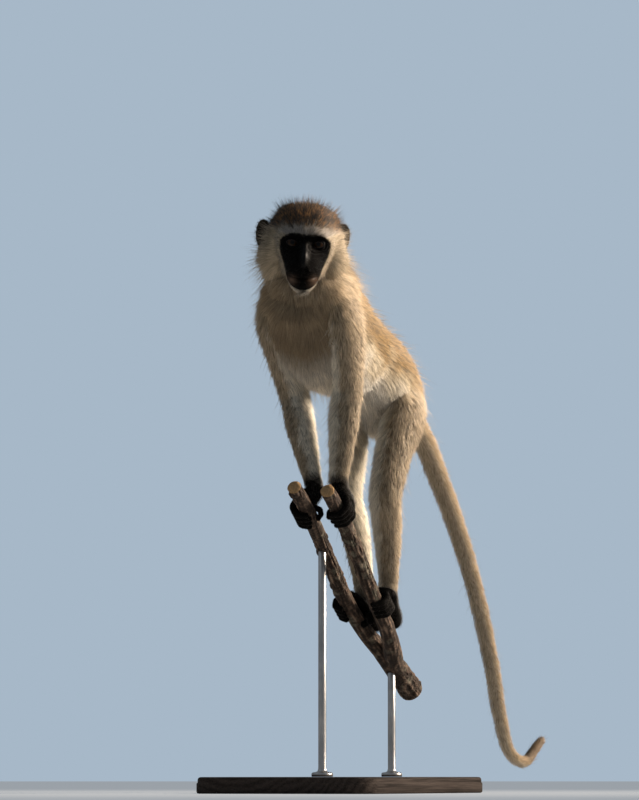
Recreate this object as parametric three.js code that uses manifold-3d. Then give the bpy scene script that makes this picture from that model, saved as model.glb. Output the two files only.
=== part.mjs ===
// A vervet monkey standing on all fours along a cut, forked branch, its head raised and turned to the left
// and its tail hanging behind, on a plain display stand. The solids are the outer form, coat included.
//
// Millimetres, +Z up. The monkey faces -Y and its left side is +X. The origin is the middle of the
// underside of the stand's base.
import * as THREE from "three";
import { mergeVertices } from "three/addons/utils/BufferGeometryUtils.js";
import Module from "manifold-3d";

const wasm = await Module();
wasm.setup();

// ---------------------------------------------------------------- driving sizes

const GAP = 0.3; // clearance between neighbouring solids
const V = (x, y, z) => new THREE.Vector3(x, y, z);
const X_AXIS = V(1, 0, 0);
const Y_AXIS = V(0, 1, 0);
const deg = THREE.MathUtils.degToRad;

// The joints of the limbs, as points in the body's frame.
const RIGHT_ARM = { shoulder: V(-37, -106, 532), elbow: V(-32, -70, 442), wrist: V(3, -97, 342) };
const LEFT_ARM = { shoulder: V(42, -106, 532), elbow: V(36, -80, 446), wrist: V(33, -94, 342) };
const RIGHT_LEG = { hip: V(-29, 112, 450), knee: V(-30, 86, 335), ankle: V(-15, 108, 222) };
const LEFT_LEG = { hip: V(28, 106, 450), knee: V(29, 52, 334), ankle: V(19, 92, 224) };

// The head turns to the monkey's left, dips, and tilts to that side, about this centre between the ears.
// Its own frame is the body's before those turns: left, back, up.
const HEAD_CENTRE = V(14, -145, 603);
const HEAD_TURN = deg(22);
const HEAD_DIP = deg(14);
const HEAD_TILT = deg(4.6);

const EYE = { radius: 7.6, aside: 14.3, back: -38.5, up: -0.4 };
const ORBIT = { radius: 6.6, ahead: 9 }; // the hollow between the brow and the cheek, in front of the eye
const EAR = {
  left: { aside: 38.5, back: 8, up: 4 },
  right: { aside: 42, back: 7, up: 0 },
};

// The branch: one stem that forks into a right and a left prong.
const PRONG_RADIUS = 9;

const BASE = { width: 210, length: 370, height: 18, corner: 24, bevel: 2.5 };
const ROD_RADIUS = 4.5;
const ROD_PLACES = {
  front: { x: -5.5, y: -48, branchHeight: 273 },
  rear: { x: -2, y: 156, branchHeight: 148 },
};
const COLLAR = { radius: 12, height: 6 };

// ---------------------------------------------------------------- solids

const solidOf = (geometry) => {
  const bare = geometry.clone();
  bare.deleteAttribute("normal");
  bare.deleteAttribute("uv");
  const merged = mergeVertices(bare, 1e-4);
  return new wasm.Manifold(
    new wasm.Mesh({
      numProp: 3,
      vertProperties: new Float32Array(merged.attributes.position.array),
      triVerts: new Uint32Array(merged.index.array),
    }),
  );
};

const geometryOf = (solid) => {
  const { vertProperties, triVerts, numProp } = solid.getMesh();
  const positions = new Float32Array((vertProperties.length / numProp) * 3);
  for (let i = 0; i < positions.length / 3; i += 1)
    positions.set(vertProperties.subarray(i * numProp, i * numProp + 3), i * 3);
  const geometry = new THREE.BufferGeometry();
  geometry.setAttribute("position", new THREE.BufferAttribute(positions, 3));
  geometry.setIndex(new THREE.BufferAttribute(new Uint32Array(triVerts), 1));
  geometry.computeVertexNormals();
  return geometry;
};

// A grid of points, rings.length by sides, closed by a fan to each pole.
const closedGrid = (rings, first, last) => {
  const sides = rings[0].length;
  const points = [...rings.flat(), first, last];
  const indices = [];
  const pole = rings.length * sides;
  for (let j = 0; j < sides; j += 1) {
    const next = (j + 1) % sides;
    indices.push(pole, next, j);
    for (let i = 0; i < rings.length - 1; i += 1) {
      const a = i * sides + j;
      const b = i * sides + next;
      indices.push(a, b, a + sides, b, b + sides, a + sides);
    }
    indices.push(pole + 1, (rings.length - 1) * sides + j, (rings.length - 1) * sides + next);
  }
  const geometry = new THREE.BufferGeometry().setFromPoints(points);
  geometry.setIndex(indices);
  return geometry;
};

// A body carried along a smooth path through its stations. Each station is a centre with a half width,
// along the side direction, and a half depth across it. A dome, in millimetres, rounds an end; with no
// dome the end is a flat cut. from and to take a length of the path, and grow widens every section.
const sweep = (stations, options = {}) => {
  const { rings = 8, sides = 12, side = X_AXIS, from = 0, to = 1 } = options;
  const { domeStart = 0, domeEnd = 0, grow = 0 } = options;
  const path = new THREE.CatmullRomCurve3(stations.map((s) => s.at), false, "centripetal");
  const sizes = new THREE.CatmullRomCurve3(stations.map((s) => V(s.width, s.depth, 0)), false, "centripetal");
  const ringAt = (t, scale, advance) => {
    const along = path.getTangent(t);
    const across = side.clone().addScaledVector(along, -side.dot(along)).normalize();
    const over = new THREE.Vector3().crossVectors(along, across);
    const centre = path.getPoint(t).addScaledVector(along, advance);
    const size = sizes.getPoint(t);
    return Array.from({ length: sides }, (_, j) => {
      const turn = (2 * Math.PI * j) / sides;
      return centre
        .clone()
        .addScaledVector(across, Math.cos(turn) * scale * (size.x + grow))
        .addScaledVector(over, Math.sin(turn) * scale * (size.y + grow));
    });
  };
  const pole = (t, advance) => path.getPoint(t).addScaledVector(path.getTangent(t), advance);
  const DOME_TURNS = [deg(62), deg(32)];
  const domeRing = (t, turn, dome) => ringAt(t, Math.cos(turn), dome * Math.sin(turn));
  const startDome = domeStart && domeStart + grow;
  const endDome = domeEnd && domeEnd + grow;
  const grid = startDome ? DOME_TURNS.map((turn) => domeRing(from, turn, -startDome)) : [];
  if (!startDome) grid.push(ringAt(from, 1, -grow));
  for (let i = grow || startDome ? 0 : 1; i < rings; i += 1) {
    if (i === rings - 1 && !endDome) grid.push(ringAt(to, 1, grow));
    else grid.push(ringAt(from + ((to - from) * i) / (rings - 1), 1, 0));
  }
  if (endDome) grid.push(...DOME_TURNS.map((turn) => domeRing(to, turn, endDome)).reverse());
  return solidOf(closedGrid(grid, pole(from, -(startDome || grow)), pole(to, endDome || grow)));
};

const station = (at, width, depth = width) => ({ at, width, depth });

const ball = (centre, radius) =>
  solidOf(new THREE.SphereGeometry(radius, 10, 7).translate(centre.x, centre.y, centre.z));

const parts = new THREE.Group();

const place = (name, solid, look, parent = parts) => {
  const mesh = new THREE.Mesh(geometryOf(solid), look);
  mesh.name = name;
  parent.add(mesh);
};

// ---------------------------------------------------------------- looks

const look = (color, roughness, metalness = 0) =>
  new THREE.MeshStandardMaterial({ color, roughness, metalness });
const GRIZZLED_FUR = look(0x9c8a68, 0.9);
const PALE_FUR = look(0xb8a888, 0.9);
const BLACK_SKIN = look(0x15130f, 0.55);
const EYE_BROWN = look(0x3a2413, 0.15);
const BARK = look(0x4a3b30, 0.9);
const BASE_PAINT = look(0x2b2a29, 0.6);
const ROD_STEEL = look(0x9a9a9c, 0.35, 0.9);

// ---------------------------------------------------------------- trunk, neck and tail

const TRUNK = [
  station(V(0, -130, 546), 36, 40),
  station(V(0, -104, 532), 50, 57),
  station(V(0, -62, 513), 53, 67),
  station(V(0, -12, 499), 51, 59),
  station(V(0, 36, 491), 47, 48),
  station(V(0, 82, 476), 49, 49),
  station(V(0, 118, 457), 47, 53),
  station(V(0, 146, 440), 36, 43),
];
const trunk = (grow = 0) => sweep(TRUNK, { rings: 13, sides: 18, domeStart: 20, domeEnd: 18, grow });

const NECK = [
  station(V(0, -52, 520), 42, 36),
  station(V(0, -84, 548), 50, 46),
  station(V(3, -112, 572), 50, 46),
  station(V(11, -136, 598), 44, 40),
];
const neck = (grow = 0) => sweep(NECK, { rings: 4, sides: 14, grow });

const TAIL = [
  station(V(4, 128, 446), 17, 17),
  station(V(14, 160, 436), 16, 16),
  station(V(23, 192, 408), 14.5, 14.5),
  station(V(29, 222, 370), 13.5, 13.5),
  station(V(36, 256, 322), 12.5, 12.5),
  station(V(43, 290, 266), 11.5, 11.5),
  station(V(49, 320, 205), 11, 11),
  station(V(54, 343, 142), 10.5, 10.5),
  station(V(57, 360, 88), 9.5, 9.5),
  station(V(60, 384, 48), 8.5, 8.5),
  station(V(66, 420, 36), 7.5, 7.5),
  station(V(74, 452, 58), 6, 6),
];
const TAIL_LENGTHS = ["tail_root", "tail_upper", "tail_middle", "tail_lower", "tail_tip"];

// ---------------------------------------------------------------- head

// The furred head and the bare face are one form: blended ellipsoids, found along each direction from
// a pivot inside them.
const onBothSides = ({ at: [x, y, z], size }) => [{ at: [x, y, z], size }, { at: [-x, y, z], size }];
const HEAD_FORMS = [
  { at: [0, 6, 3], size: [40, 46, 33] }, // braincase and crown
  ...onBothSides({ at: [22, 2, 19], size: [15, 26, 12.5] }), // corners of the crown
  ...onBothSides({ at: [22, 3, -16], size: [26, 27, 30] }), // cheek ruffs
  { at: [0, -26, -8], size: [27, 18, 24] }, // middle of the face
  { at: [0, -32, 9], size: [27, 9, 6.5] }, // brow
  { at: [0, -42, -24], size: [14.5, 22, 14] }, // muzzle
  { at: [0, -38, -39], size: [12.5, 17, 12] }, // chin
  { at: [0, -44, -13], size: [5.5, 18, 8] }, // bridge of the nose
];
const FORM_BLEND = 6;

// Roughly the distance outside the blended head, negative inside it.
const headField = (p) => {
  const distances = HEAD_FORMS.map(({ at, size }) => {
    const [x, y, z] = [(p.x - at[0]) / size[0], (p.y - at[1]) / size[1], (p.z - at[2]) / size[2]];
    const reach = Math.hypot(x, y, z);
    const slope = Math.hypot(x / size[0], y / size[1], z / size[2]) || 1;
    return (reach * (reach - 1)) / slope;
  });
  return -FORM_BLEND * Math.log(distances.reduce((sum, d) => sum + Math.exp(-d / FORM_BLEND), 0));
};

const HEAD_PIVOT = V(0, -6, -4); // the head's whole surface is in plain sight of this point

// The head's surface at an angle away from straight ahead, and an angle round that line.
const headPoint = (aside, around, grow) => {
  const out = Math.sin(aside);
  const direction = V(out * Math.cos(around), -Math.cos(aside), -out * Math.sin(around));
  let [near, far] = [0, 140];
  for (let i = 0; i < 24; i += 1) {
    const middle = (near + far) / 2;
    if (headField(HEAD_PIVOT.clone().addScaledVector(direction, middle)) < 0) near = middle;
    else far = middle;
  }
  return HEAD_PIVOT.clone().addScaledVector(direction, near + grow);
};

// Rings from the nose back to the nape, closest together over the face.
const headForm = (grow = 0) => {
  const RINGS = 15;
  const SIDES = 24;
  const rings = Array.from({ length: RINGS }, (_, i) => {
    const aside = Math.PI * ((i + 1) / (RINGS + 1)) ** 1.15;
    return Array.from({ length: SIDES }, (_, j) => headPoint(aside, (2 * Math.PI * j) / SIDES, grow));
  });
  return solidOf(closedGrid(rings, headPoint(0, 0, grow), headPoint(Math.PI, 0, grow)));
};

// The bare face seen from the front, broad across the eyes and narrow at the chin, cut straight back.
const facePrism = (grow = 0) => {
  const FACE_BACK = 12;
  const [wide, top, chin] = [27.5 + grow, 10.5 + grow, -53 - grow];
  const outline = new THREE.Shape();
  outline.moveTo(0, top - 1);
  outline.bezierCurveTo(-12, top + 1.5, 6 - wide, top + 1, -wide, 1);
  outline.bezierCurveTo(-wide - 1, -13, -21 - grow, -19, -18 - grow, -31);
  outline.bezierCurveTo(-16 - grow, -44, -9, chin, 0, chin);
  outline.bezierCurveTo(9, chin, 16 + grow, -44, 18 + grow, -31);
  outline.bezierCurveTo(21 + grow, -19, wide + 1, -13, wide, 1);
  outline.bezierCurveTo(wide - 6, top + 1, 12, top + 1.5, 0, top - 1);
  const prism = new THREE.ExtrudeGeometry(outline, { depth: 90, bevelEnabled: false, curveSegments: 4 });
  return solidOf(prism.rotateX(Math.PI / 2)).translate([0, grow - FACE_BACK, 0]);
};

const headTurn = new THREE.Matrix4()
  .makeRotationZ(HEAD_TURN)
  .multiply(new THREE.Matrix4().makeRotationX(HEAD_DIP))
  .multiply(new THREE.Matrix4().makeRotationY(HEAD_TILT))
  .setPosition(HEAD_CENTRE);
const inBody = (solid) => solid.transform(headTurn.elements);

const eyeCentre = (side) => V(side * EYE.aside, EYE.back, EYE.up);
const eye = (side, grow = 0) => ball(eyeCentre(side), EYE.radius + grow);
const socket = (side) => eye(side, GAP).add(ball(eyeCentre(side).add(V(0, -ORBIT.ahead, 0)), ORBIT.radius));

// An ear: a flattened ellipsoid with a scooped front, leaning out and back.
const ear = (side, { aside, back, up }) => {
  const shell = new THREE.SphereGeometry(1, 10, 8).scale(12, 4.5, 16.5);
  const scoop = new THREE.SphereGeometry(1, 8, 6).scale(9, 4, 13).translate(0, -4.6, 0);
  const turn = new THREE.Matrix4()
    .makeRotationZ(side * deg(38))
    .multiply(new THREE.Matrix4().makeRotationY(side * deg(10)))
    .setPosition(V(side * aside, back, up));
  return solidOf(shell).subtract(solidOf(scoop)).transform(turn.elements);
};

const wholeHead = headForm();
const headCut = headForm(GAP);
const sockets = socket(1).add(socket(-1));
place("head", inBody(wholeHead.subtract(facePrism(GAP))), GRIZZLED_FUR);
place("face", inBody(wholeHead.intersect(facePrism()).subtract(sockets)), BLACK_SKIN);
place("eye_left", inBody(eye(1)), EYE_BROWN);
place("eye_right", inBody(eye(-1)), EYE_BROWN);
place("ear_left", inBody(ear(1, EAR.left).subtract(headCut)), BLACK_SKIN);
place("ear_right", inBody(ear(-1, EAR.right).subtract(headCut)), BLACK_SKIN);
const bodyCut = trunk(GAP);
place("neck", neck().subtract(bodyCut).subtract(inBody(headCut)), PALE_FUR);
place("trunk", trunk().subtract(inBody(headCut)), GRIZZLED_FUR);

// ---------------------------------------------------------------- tail

TAIL_LENGTHS.forEach((name, i) => {
  const count = TAIL_LENGTHS.length;
  const CUT = 0.0006;
  const last = i === count - 1;
  const piece = sweep(TAIL, {
    rings: 5,
    sides: 10,
    from: i / count + (i ? CUT : 0),
    to: (i + 1) / count - (last ? 0 : CUT),
    domeEnd: last ? 9 : 0,
  });
  place(name, i ? piece : piece.subtract(bodyCut), GRIZZLED_FUR);
});

// ---------------------------------------------------------------- branch and stand

const BRANCH = {
  right: [
    station(V(2, 208, 118), 14.5),
    station(V(0, 170, 140), 14),
    station(V(-7, 137, 162), 11.5),
    station(V(-14, 107, 181), 10),
    station(V(-15, 50, 214), 9.5),
    station(V(-8, -20, 256), 9.2),
    station(V(0, -102, 306), PRONG_RADIUS),
    station(V(3, -150, 331), 8.5),
  ],
  left: [
    station(V(0, 165, 143), 10),
    station(V(9, 132, 159), 11),
    station(V(18, 92, 183), 9.8),
    station(V(24, 30, 221), 9.3),
    station(V(30, -40, 270), 9.2),
    station(V(34, -98, 307), PRONG_RADIUS),
    station(V(37, -138, 327), 8.5),
  ],
};
const branch = (grow = 0) =>
  sweep(BRANCH.right, { rings: 12, sides: 10, grow }).add(sweep(BRANCH.left, { rings: 10, sides: 10, grow }));
place("branch", branch(), BARK);

const basePlate = () => {
  const { width, length, height, corner, bevel } = BASE;
  const [w, l, r] = [width / 2 - bevel, length / 2 - bevel, corner - bevel];
  const outline = new THREE.Shape();
  outline.absarc(w - r, l - r, r, 0, Math.PI / 2);
  outline.absarc(-w + r, l - r, r, Math.PI / 2, Math.PI);
  outline.absarc(-w + r, -l + r, r, Math.PI, 1.5 * Math.PI);
  outline.absarc(w - r, -l + r, r, 1.5 * Math.PI, 2 * Math.PI);
  const plate = new THREE.ExtrudeGeometry(outline, {
    depth: height - 2 * bevel,
    bevelThickness: bevel,
    bevelSize: bevel,
    bevelSegments: 1,
    curveSegments: 3,
  });
  return solidOf(plate.translate(0, 0, bevel));
};
place("stand_base", basePlate(), BASE_PAINT);

const upright = (radius, from, to) => {
  const cylinder = new THREE.CylinderGeometry(radius, radius, to - from, 12);
  return solidOf(cylinder.rotateX(Math.PI / 2).translate(0, 0, (from + to) / 2));
};
const branchCut = branch(GAP);
for (const [end, { x, y, branchHeight }] of Object.entries(ROD_PLACES)) {
  const foot = BASE.height + GAP;
  const rod = upright(ROD_RADIUS, foot, branchHeight).add(upright(COLLAR.radius, foot, foot + COLLAR.height));
  place(`stand_rod_${end}`, rod.translate([x, y, 0]).subtract(branchCut), ROD_STEEL);
}

// ---------------------------------------------------------------- arms and legs

const between = (a, b, share) => a.clone().lerp(b, share);
const neckCut = neck(GAP);
const CUT = 0.0015; // half the gap at an elbow or a knee, as a share of the limb's path

const armStations = (side, { shoulder, elbow, wrist }) => [
  station(shoulder.clone().add(V(-side * 6, 4, 20)), 20, 31),
  station(shoulder.clone().add(V(0, 0, -8)), 21, 33),
  station(between(shoulder, elbow, 0.5).add(V(side * 2, 0, 0)), 19.5, 27),
  station(elbow.clone().add(V(0, 4, 0)), 17, 19.5),
  station(between(elbow, wrist, 0.35).add(V(0, 1, 0)), 17, 17),
  station(between(elbow, wrist, 0.75), 13, 12.5),
  station(wrist, 9.5, 9),
];

const legStations = (side, { hip, knee, ankle }) => [
  station(hip.clone().add(V(-side * 2, 8, 22)), 20, 34),
  station(hip.clone().add(V(side * 5, 0, -14)), 23, 38),
  station(between(hip, knee, 0.55).add(V(side * 3, 1, 0)), 21, 29),
  station(knee.clone().add(V(side * 1, 3, 0)), 19, 22),
  station(between(knee, ankle, 0.3).add(V(0, 6, 0)), 17, 19),
  station(between(knee, ankle, 0.7).add(V(0, 4, 0)), 13, 13.5),
  station(ankle, 9.5, 11),
];

// The middle station of a limb is its elbow or knee, where it is parted.
const MIDDLE = 0.5;
const upperLimb = (stations) => {
  const limb = sweep(stations, { rings: 7, sides: 12, domeStart: 12, to: MIDDLE - CUT });
  return limb.subtract(bodyCut).subtract(neckCut);
};
const lowerLimb = (stations, grow = 0) => sweep(stations, { rings: 7, sides: 12, from: MIDDLE + CUT, grow });

// ---------------------------------------------------------------- hands and feet

// Places round a prong near the station where it is gripped: so far forward along its axis, at an angle
// from its top towards the monkey's outer side, and so far out from the axis.
const gripOn = (stations, index, side) => {
  const FINENESS = 20;
  const path = new THREE.CatmullRomCurve3(stations.map((s) => s.at), false, "centripetal");
  const lengths = path.getLengths(FINENESS * (stations.length - 1));
  const length = lengths.at(-1);
  const share = lengths[FINENESS * index] / length;
  const point = (forward, angle, reach) => {
    const at = share + forward / length;
    const along = path.getTangentAt(at);
    const outer = X_AXIS.clone().addScaledVector(along, -along.x).normalize();
    const top = new THREE.Vector3().crossVectors(along, outer);
    return path
      .getPointAt(at)
      .addScaledVector(top, Math.cos(deg(angle)) * reach)
      .addScaledVector(outer, side * Math.sin(deg(angle)) * reach);
  };
  return { along: path.getTangentAt(share), top: point(0, 0, 1).sub(point(0, 0, 0)), point };
};

// A finger or toe wound round the prong, from one angle to another, advancing as it goes.
const digit = (grip, { forward, advance, start, end, thick, reach }) => {
  const STEPS = 5;
  const stations = Array.from({ length: STEPS }, (_, i) => {
    const share = i / (STEPS - 1);
    const radius = thick * (1 - 0.22 * share);
    const at = grip.point(forward + advance * share, start + (end - start) * share, reach + radius);
    return station(at, radius);
  });
  return sweep(stations, { rings: 5, sides: 5, side: grip.along, domeEnd: thick * 0.8 });
};

const CLEAR = PRONG_RADIUS + 1.4; // from a prong's axis to the skin that rests on it
const WRIST_OVERLAP = 3; // how far a hand starts inside its forearm, which then cuts it
const HAND = { fingers: 4, spacing: 7.6, thick: 3.7 };
const handOn = (grip, wrist) => {
  const palm = sweep(
    [
      station(wrist.clone().addScaledVector(grip.top, WRIST_OVERLAP), 9, 8.5),
      station(grip.point(1, -4, CLEAR + 15), 11, 9),
      station(grip.point(2, 12, CLEAR + 7.5), 14.5, 9),
      station(grip.point(3, 48, CLEAR + 4.5), 14.5, 6),
    ],
    { rings: 5, sides: 9, side: grip.along, domeEnd: 4 },
  );
  const fingers = Array.from({ length: HAND.fingers }, (_, i) =>
    digit(grip, {
      forward: 3 + (i - 1.5) * HAND.spacing,
      advance: 1,
      start: 42,
      end: 205 - 8 * Math.abs(i - 2),
      thick: HAND.thick,
      reach: CLEAR,
    }),
  );
  const thumb = digit(grip, { forward: -9, advance: 6, start: -12, end: -118, thick: 4, reach: CLEAR });
  return [...fingers, thumb].reduce((whole, piece) => whole.add(piece), palm);
};

const FOOT = { toes: 4, spacing: 7.6, thick: 3.8 };
const footOn = (grip, ankle) => {
  const sole = sweep(
    [
      station(grip.point(-14, 0, CLEAR + 11), 9.5, 9),
      station(grip.point(2, 2, CLEAR + 10), 11.5, 10),
      station(grip.point(26, 6, CLEAR + 7.5), 12.5, 7.5),
      station(grip.point(50, 18, CLEAR + 6.5), 14, 6.5),
      station(grip.point(60, 24, CLEAR + 5), 12.5, 5),
    ],
    { rings: 5, sides: 9, domeStart: 8, domeEnd: 5 },
  );
  const joint = sweep([station(ankle, 9, 10.5), station(grip.point(0, 2, CLEAR + 10), 9.5, 11)], {
    rings: 3,
    sides: 8,
  });
  const toes = Array.from({ length: FOOT.toes }, (_, i) =>
    digit(grip, {
      forward: 38 + i * FOOT.spacing,
      advance: 12,
      start: 34,
      end: 168,
      thick: FOOT.thick,
      reach: CLEAR,
    }),
  );
  const bigToe = digit(grip, { forward: 20, advance: 12, start: -14, end: -128, thick: 4.8, reach: CLEAR });
  return [joint, ...toes, bigToe].reduce((whole, piece) => whole.add(piece), sole);
};

const HAND_STATION = { right: 6, left: 5 }; // the prongs' stations under the hands and the feet
const FOOT_STATION = { right: 3, left: 2 };

for (const [name, side, arm, leg] of [["right", -1, RIGHT_ARM, RIGHT_LEG], ["left", 1, LEFT_ARM, LEFT_LEG]]) {
  const [armPath, legPath] = [armStations(side, arm), legStations(side, leg)];
  place(`upper_arm_${name}`, upperLimb(armPath), GRIZZLED_FUR);
  place(`forearm_${name}`, lowerLimb(armPath), GRIZZLED_FUR);
  place(`thigh_${name}`, upperLimb(legPath), GRIZZLED_FUR);
  place(`shank_${name}`, lowerLimb(legPath), PALE_FUR);
  const hand = handOn(gripOn(BRANCH[name], HAND_STATION[name], side), arm.wrist);
  const foot = footOn(gripOn(BRANCH[name], FOOT_STATION[name], side), leg.ankle);
  place(`hand_${name}`, hand.subtract(lowerLimb(armPath, GAP)).subtract(branchCut), BLACK_SKIN);
  place(`foot_${name}`, foot.subtract(lowerLimb(legPath, GAP)).subtract(branchCut), BLACK_SKIN);
}

export default parts;
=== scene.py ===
"""A vervet monkey for a museum display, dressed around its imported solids: one skin, a coat of solid mesh
tufts, the eyes, the branch that it stands along, and the display stand.

Metres in Blender, millimetres in the tables below, +Z up. The monkey faces -Y and its left side is +X.
"""

import math
from types import SimpleNamespace

import bmesh
import bpy
import numpy as np
from bpy.props import FloatProperty, FloatVectorProperty, IntProperty, PointerProperty
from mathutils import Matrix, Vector


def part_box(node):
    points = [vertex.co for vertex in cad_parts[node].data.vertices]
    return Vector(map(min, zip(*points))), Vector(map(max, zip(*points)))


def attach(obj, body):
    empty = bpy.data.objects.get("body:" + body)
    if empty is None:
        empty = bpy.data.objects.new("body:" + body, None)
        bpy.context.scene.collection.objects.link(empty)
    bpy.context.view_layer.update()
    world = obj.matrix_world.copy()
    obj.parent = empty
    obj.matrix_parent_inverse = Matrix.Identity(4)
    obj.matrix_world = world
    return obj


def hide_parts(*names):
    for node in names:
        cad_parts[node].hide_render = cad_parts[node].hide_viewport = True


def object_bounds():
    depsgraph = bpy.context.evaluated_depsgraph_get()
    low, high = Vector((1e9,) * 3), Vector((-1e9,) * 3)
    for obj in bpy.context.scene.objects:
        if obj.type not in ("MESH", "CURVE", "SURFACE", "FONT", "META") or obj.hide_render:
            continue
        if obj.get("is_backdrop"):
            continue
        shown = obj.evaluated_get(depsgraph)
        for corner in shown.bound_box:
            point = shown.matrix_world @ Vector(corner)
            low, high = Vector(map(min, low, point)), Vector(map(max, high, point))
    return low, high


bl_info = {
    "name": "Vervet Monkey Display Model",
    "version": (1, 0, 0),
    "blender": (4, 5, 0),
    "location": "3D View > Sidebar > Vervet",
    "description": "Makes the skin, coat, eyes, branch and stand of a life-size vervet monkey",
    "category": "Add Mesh",
}

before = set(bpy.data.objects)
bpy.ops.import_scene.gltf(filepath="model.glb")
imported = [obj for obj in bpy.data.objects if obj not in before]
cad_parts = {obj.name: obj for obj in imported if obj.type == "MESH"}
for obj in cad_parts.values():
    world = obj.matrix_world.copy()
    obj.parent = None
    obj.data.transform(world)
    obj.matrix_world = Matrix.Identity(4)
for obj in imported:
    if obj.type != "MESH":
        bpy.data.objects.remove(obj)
CAD_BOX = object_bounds()

MM = 0.001

# ---------------- body tables
# Every station is x, y, z, half width, half depth, and the depth of the coat there. The widths and depths
# are those of the solids, so they reach to the tips of the coat.

TRUNK = [
    (0, -130, 546, 36, 40, 8),
    (0, -104, 532, 50, 57, 9),
    (0, -62, 513, 53, 67, 9.5),
    (0, -12, 499, 51, 59, 9.5),
    (0, 36, 491, 47, 48, 9),
    (0, 82, 476, 49, 49, 9),
    (0, 118, 457, 47, 53, 9),
    (0, 146, 440, 36, 43, 8),
]
NECK = [
    (0, -52, 520, 42, 36, 9),
    (0, -84, 548, 50, 46, 10),
    (0, -112, 572, 46.5, 45, 11),
    (11, -136, 598, 40, 40, 10),
]
TAIL = [
    (4, 128, 446, 17, 17, 6),
    (14, 160, 436, 16, 16, 5.5),
    (23, 192, 408, 14.5, 14.5, 5),
    (29, 222, 370, 13.5, 13.5, 4.6),
    (36, 256, 322, 12.5, 12.5, 4.4),
    (43, 290, 266, 11.5, 11.5, 4.2),
    (49, 320, 205, 11, 11, 4),
    (54, 343, 142, 10.5, 10.5, 4),
    (57, 360, 88, 9.5, 9.5, 3.8),
    (60, 384, 48, 8.5, 8.5, 3.6),
    (66, 420, 36, 7.5, 7.5, 3.4),
    (74, 452, 58, 6, 6, 3),
]
SHOULDER = {"right": (-37, -106, 532), "left": (42, -106, 532)}
ELBOW = {"right": (-32, -70, 442), "left": (36, -80, 446)}
WRIST = {"right": (3, -97, 342), "left": (33, -94, 342)}
HIP = {"right": (-29, 112, 450), "left": (28, 106, 450)}
KNEE = {"right": (-30, 86, 335), "left": (29, 52, 334)}
ANKLE = {"right": (-15, 108, 222), "left": (19, 92, 224)}
BRANCH = {  # each prong's stations, from its lower end: x, y, z and its radius
    "right": [
        (2, 208, 118, 14.5),
        (0, 170, 140, 14),
        (-7, 137, 162, 11.5),
        (-14, 107, 181, 10),
        (-15, 50, 214, 9.5),
        (-8, -20, 256, 9.2),
        (0, -102, 306, 9),
        (3, -150, 331, 8.5),
    ],
    "left": [
        (0, 165, 143, 10),
        (9, 132, 159, 11),
        (18, 92, 183, 9.8),
        (24, 30, 221, 9.3),
        (30, -40, 270, 9.2),
        (34, -98, 307, 9),
        (37, -138, 327, 8.5),
    ],
}
HAND_STATION = {"right": 6, "left": 5}  # the station of its prong that each hand grips
FOOT_STATION = {"right": 3, "left": 2}
SIDE = {"right": -1, "left": 1}
GRIP_CLEARANCE = 10.4  # from a prong's axis to the skin that rests on it

# The head has its own frame: left, back, up from the middle of the braincase.
HEAD_CENTRE = np.array([14.0, -145.0, 603.0])
HEAD_TURN, HEAD_DIP, HEAD_TILT = np.radians([22.0, 14.0, 4.6])
HEAD_FORMS = np.array(
    [  # left, back, up of each blended ellipsoid, and its half sizes
        (0, 6, 2, 37.5, 46, 30.5),
        (11, 2, 16, 14, 26, 12.5),
        (-15, 2, 16, 14.5, 26, 12.5),
        (21, 3, -16, 25.5, 27, 30),
        (-23, 3, -16, 27, 27, 30),
        (0, -26, -8, 27, 18, 24),
        (0, -32, 9, 27, 9, 6.5),
        (0, -42, -24, 15.3, 22, 14),
        (0, -37, -40, 14.3, 17, 12.5),
        (0, -44, -13, 5.5, 18, 8),
    ]
)
FORM_BLEND = 6.0  # how softly the ellipsoids run into one another
HEAD_PIVOT = np.array([0.0, -6.0, -4.0])  # the point that the head's surface is measured from
EYE_PLACE = np.array([14.3, -38.5, -0.4])  # of the left eye; the right one mirrors it
EYE_RADIUS = 7.6
EAR_PLACE = {"left": (38.5, 5, 1), "right": (45, 4, -1)}  # aside, back, up


# ---------------- array maths


def unit(vectors):
    """Each row divided by its length."""
    return vectors / np.maximum(np.linalg.norm(vectors, axis=-1, keepdims=True), 1e-9)


def along_skin(vectors, normals):
    """Vectors with what points out of the skin taken away."""
    return vectors - (vectors * normals).sum(1, keepdims=True) * normals


def smoothstep(low, high, x):
    """0 below low and 1 above high, with the cubic 3t^2 - 2t^3 between them."""
    t = np.clip((x - low) / (high - low), 0, 1)
    return t * t * (3 - 2 * t)


def bump(x, middle, width):
    """A bell of height 1: exp(-((x - middle) / width)^2)."""
    return np.exp(-(((x - middle) / width) ** 2))


def spot(x, y):
    """A round bell of height 1: exp(-(x^2 + y^2))."""
    return np.exp(-(x**2 + y**2))


def full_turn(count):
    """Evenly spaced angles, once round."""
    return np.linspace(0, 2 * math.pi, count, endpoint=False)


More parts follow.
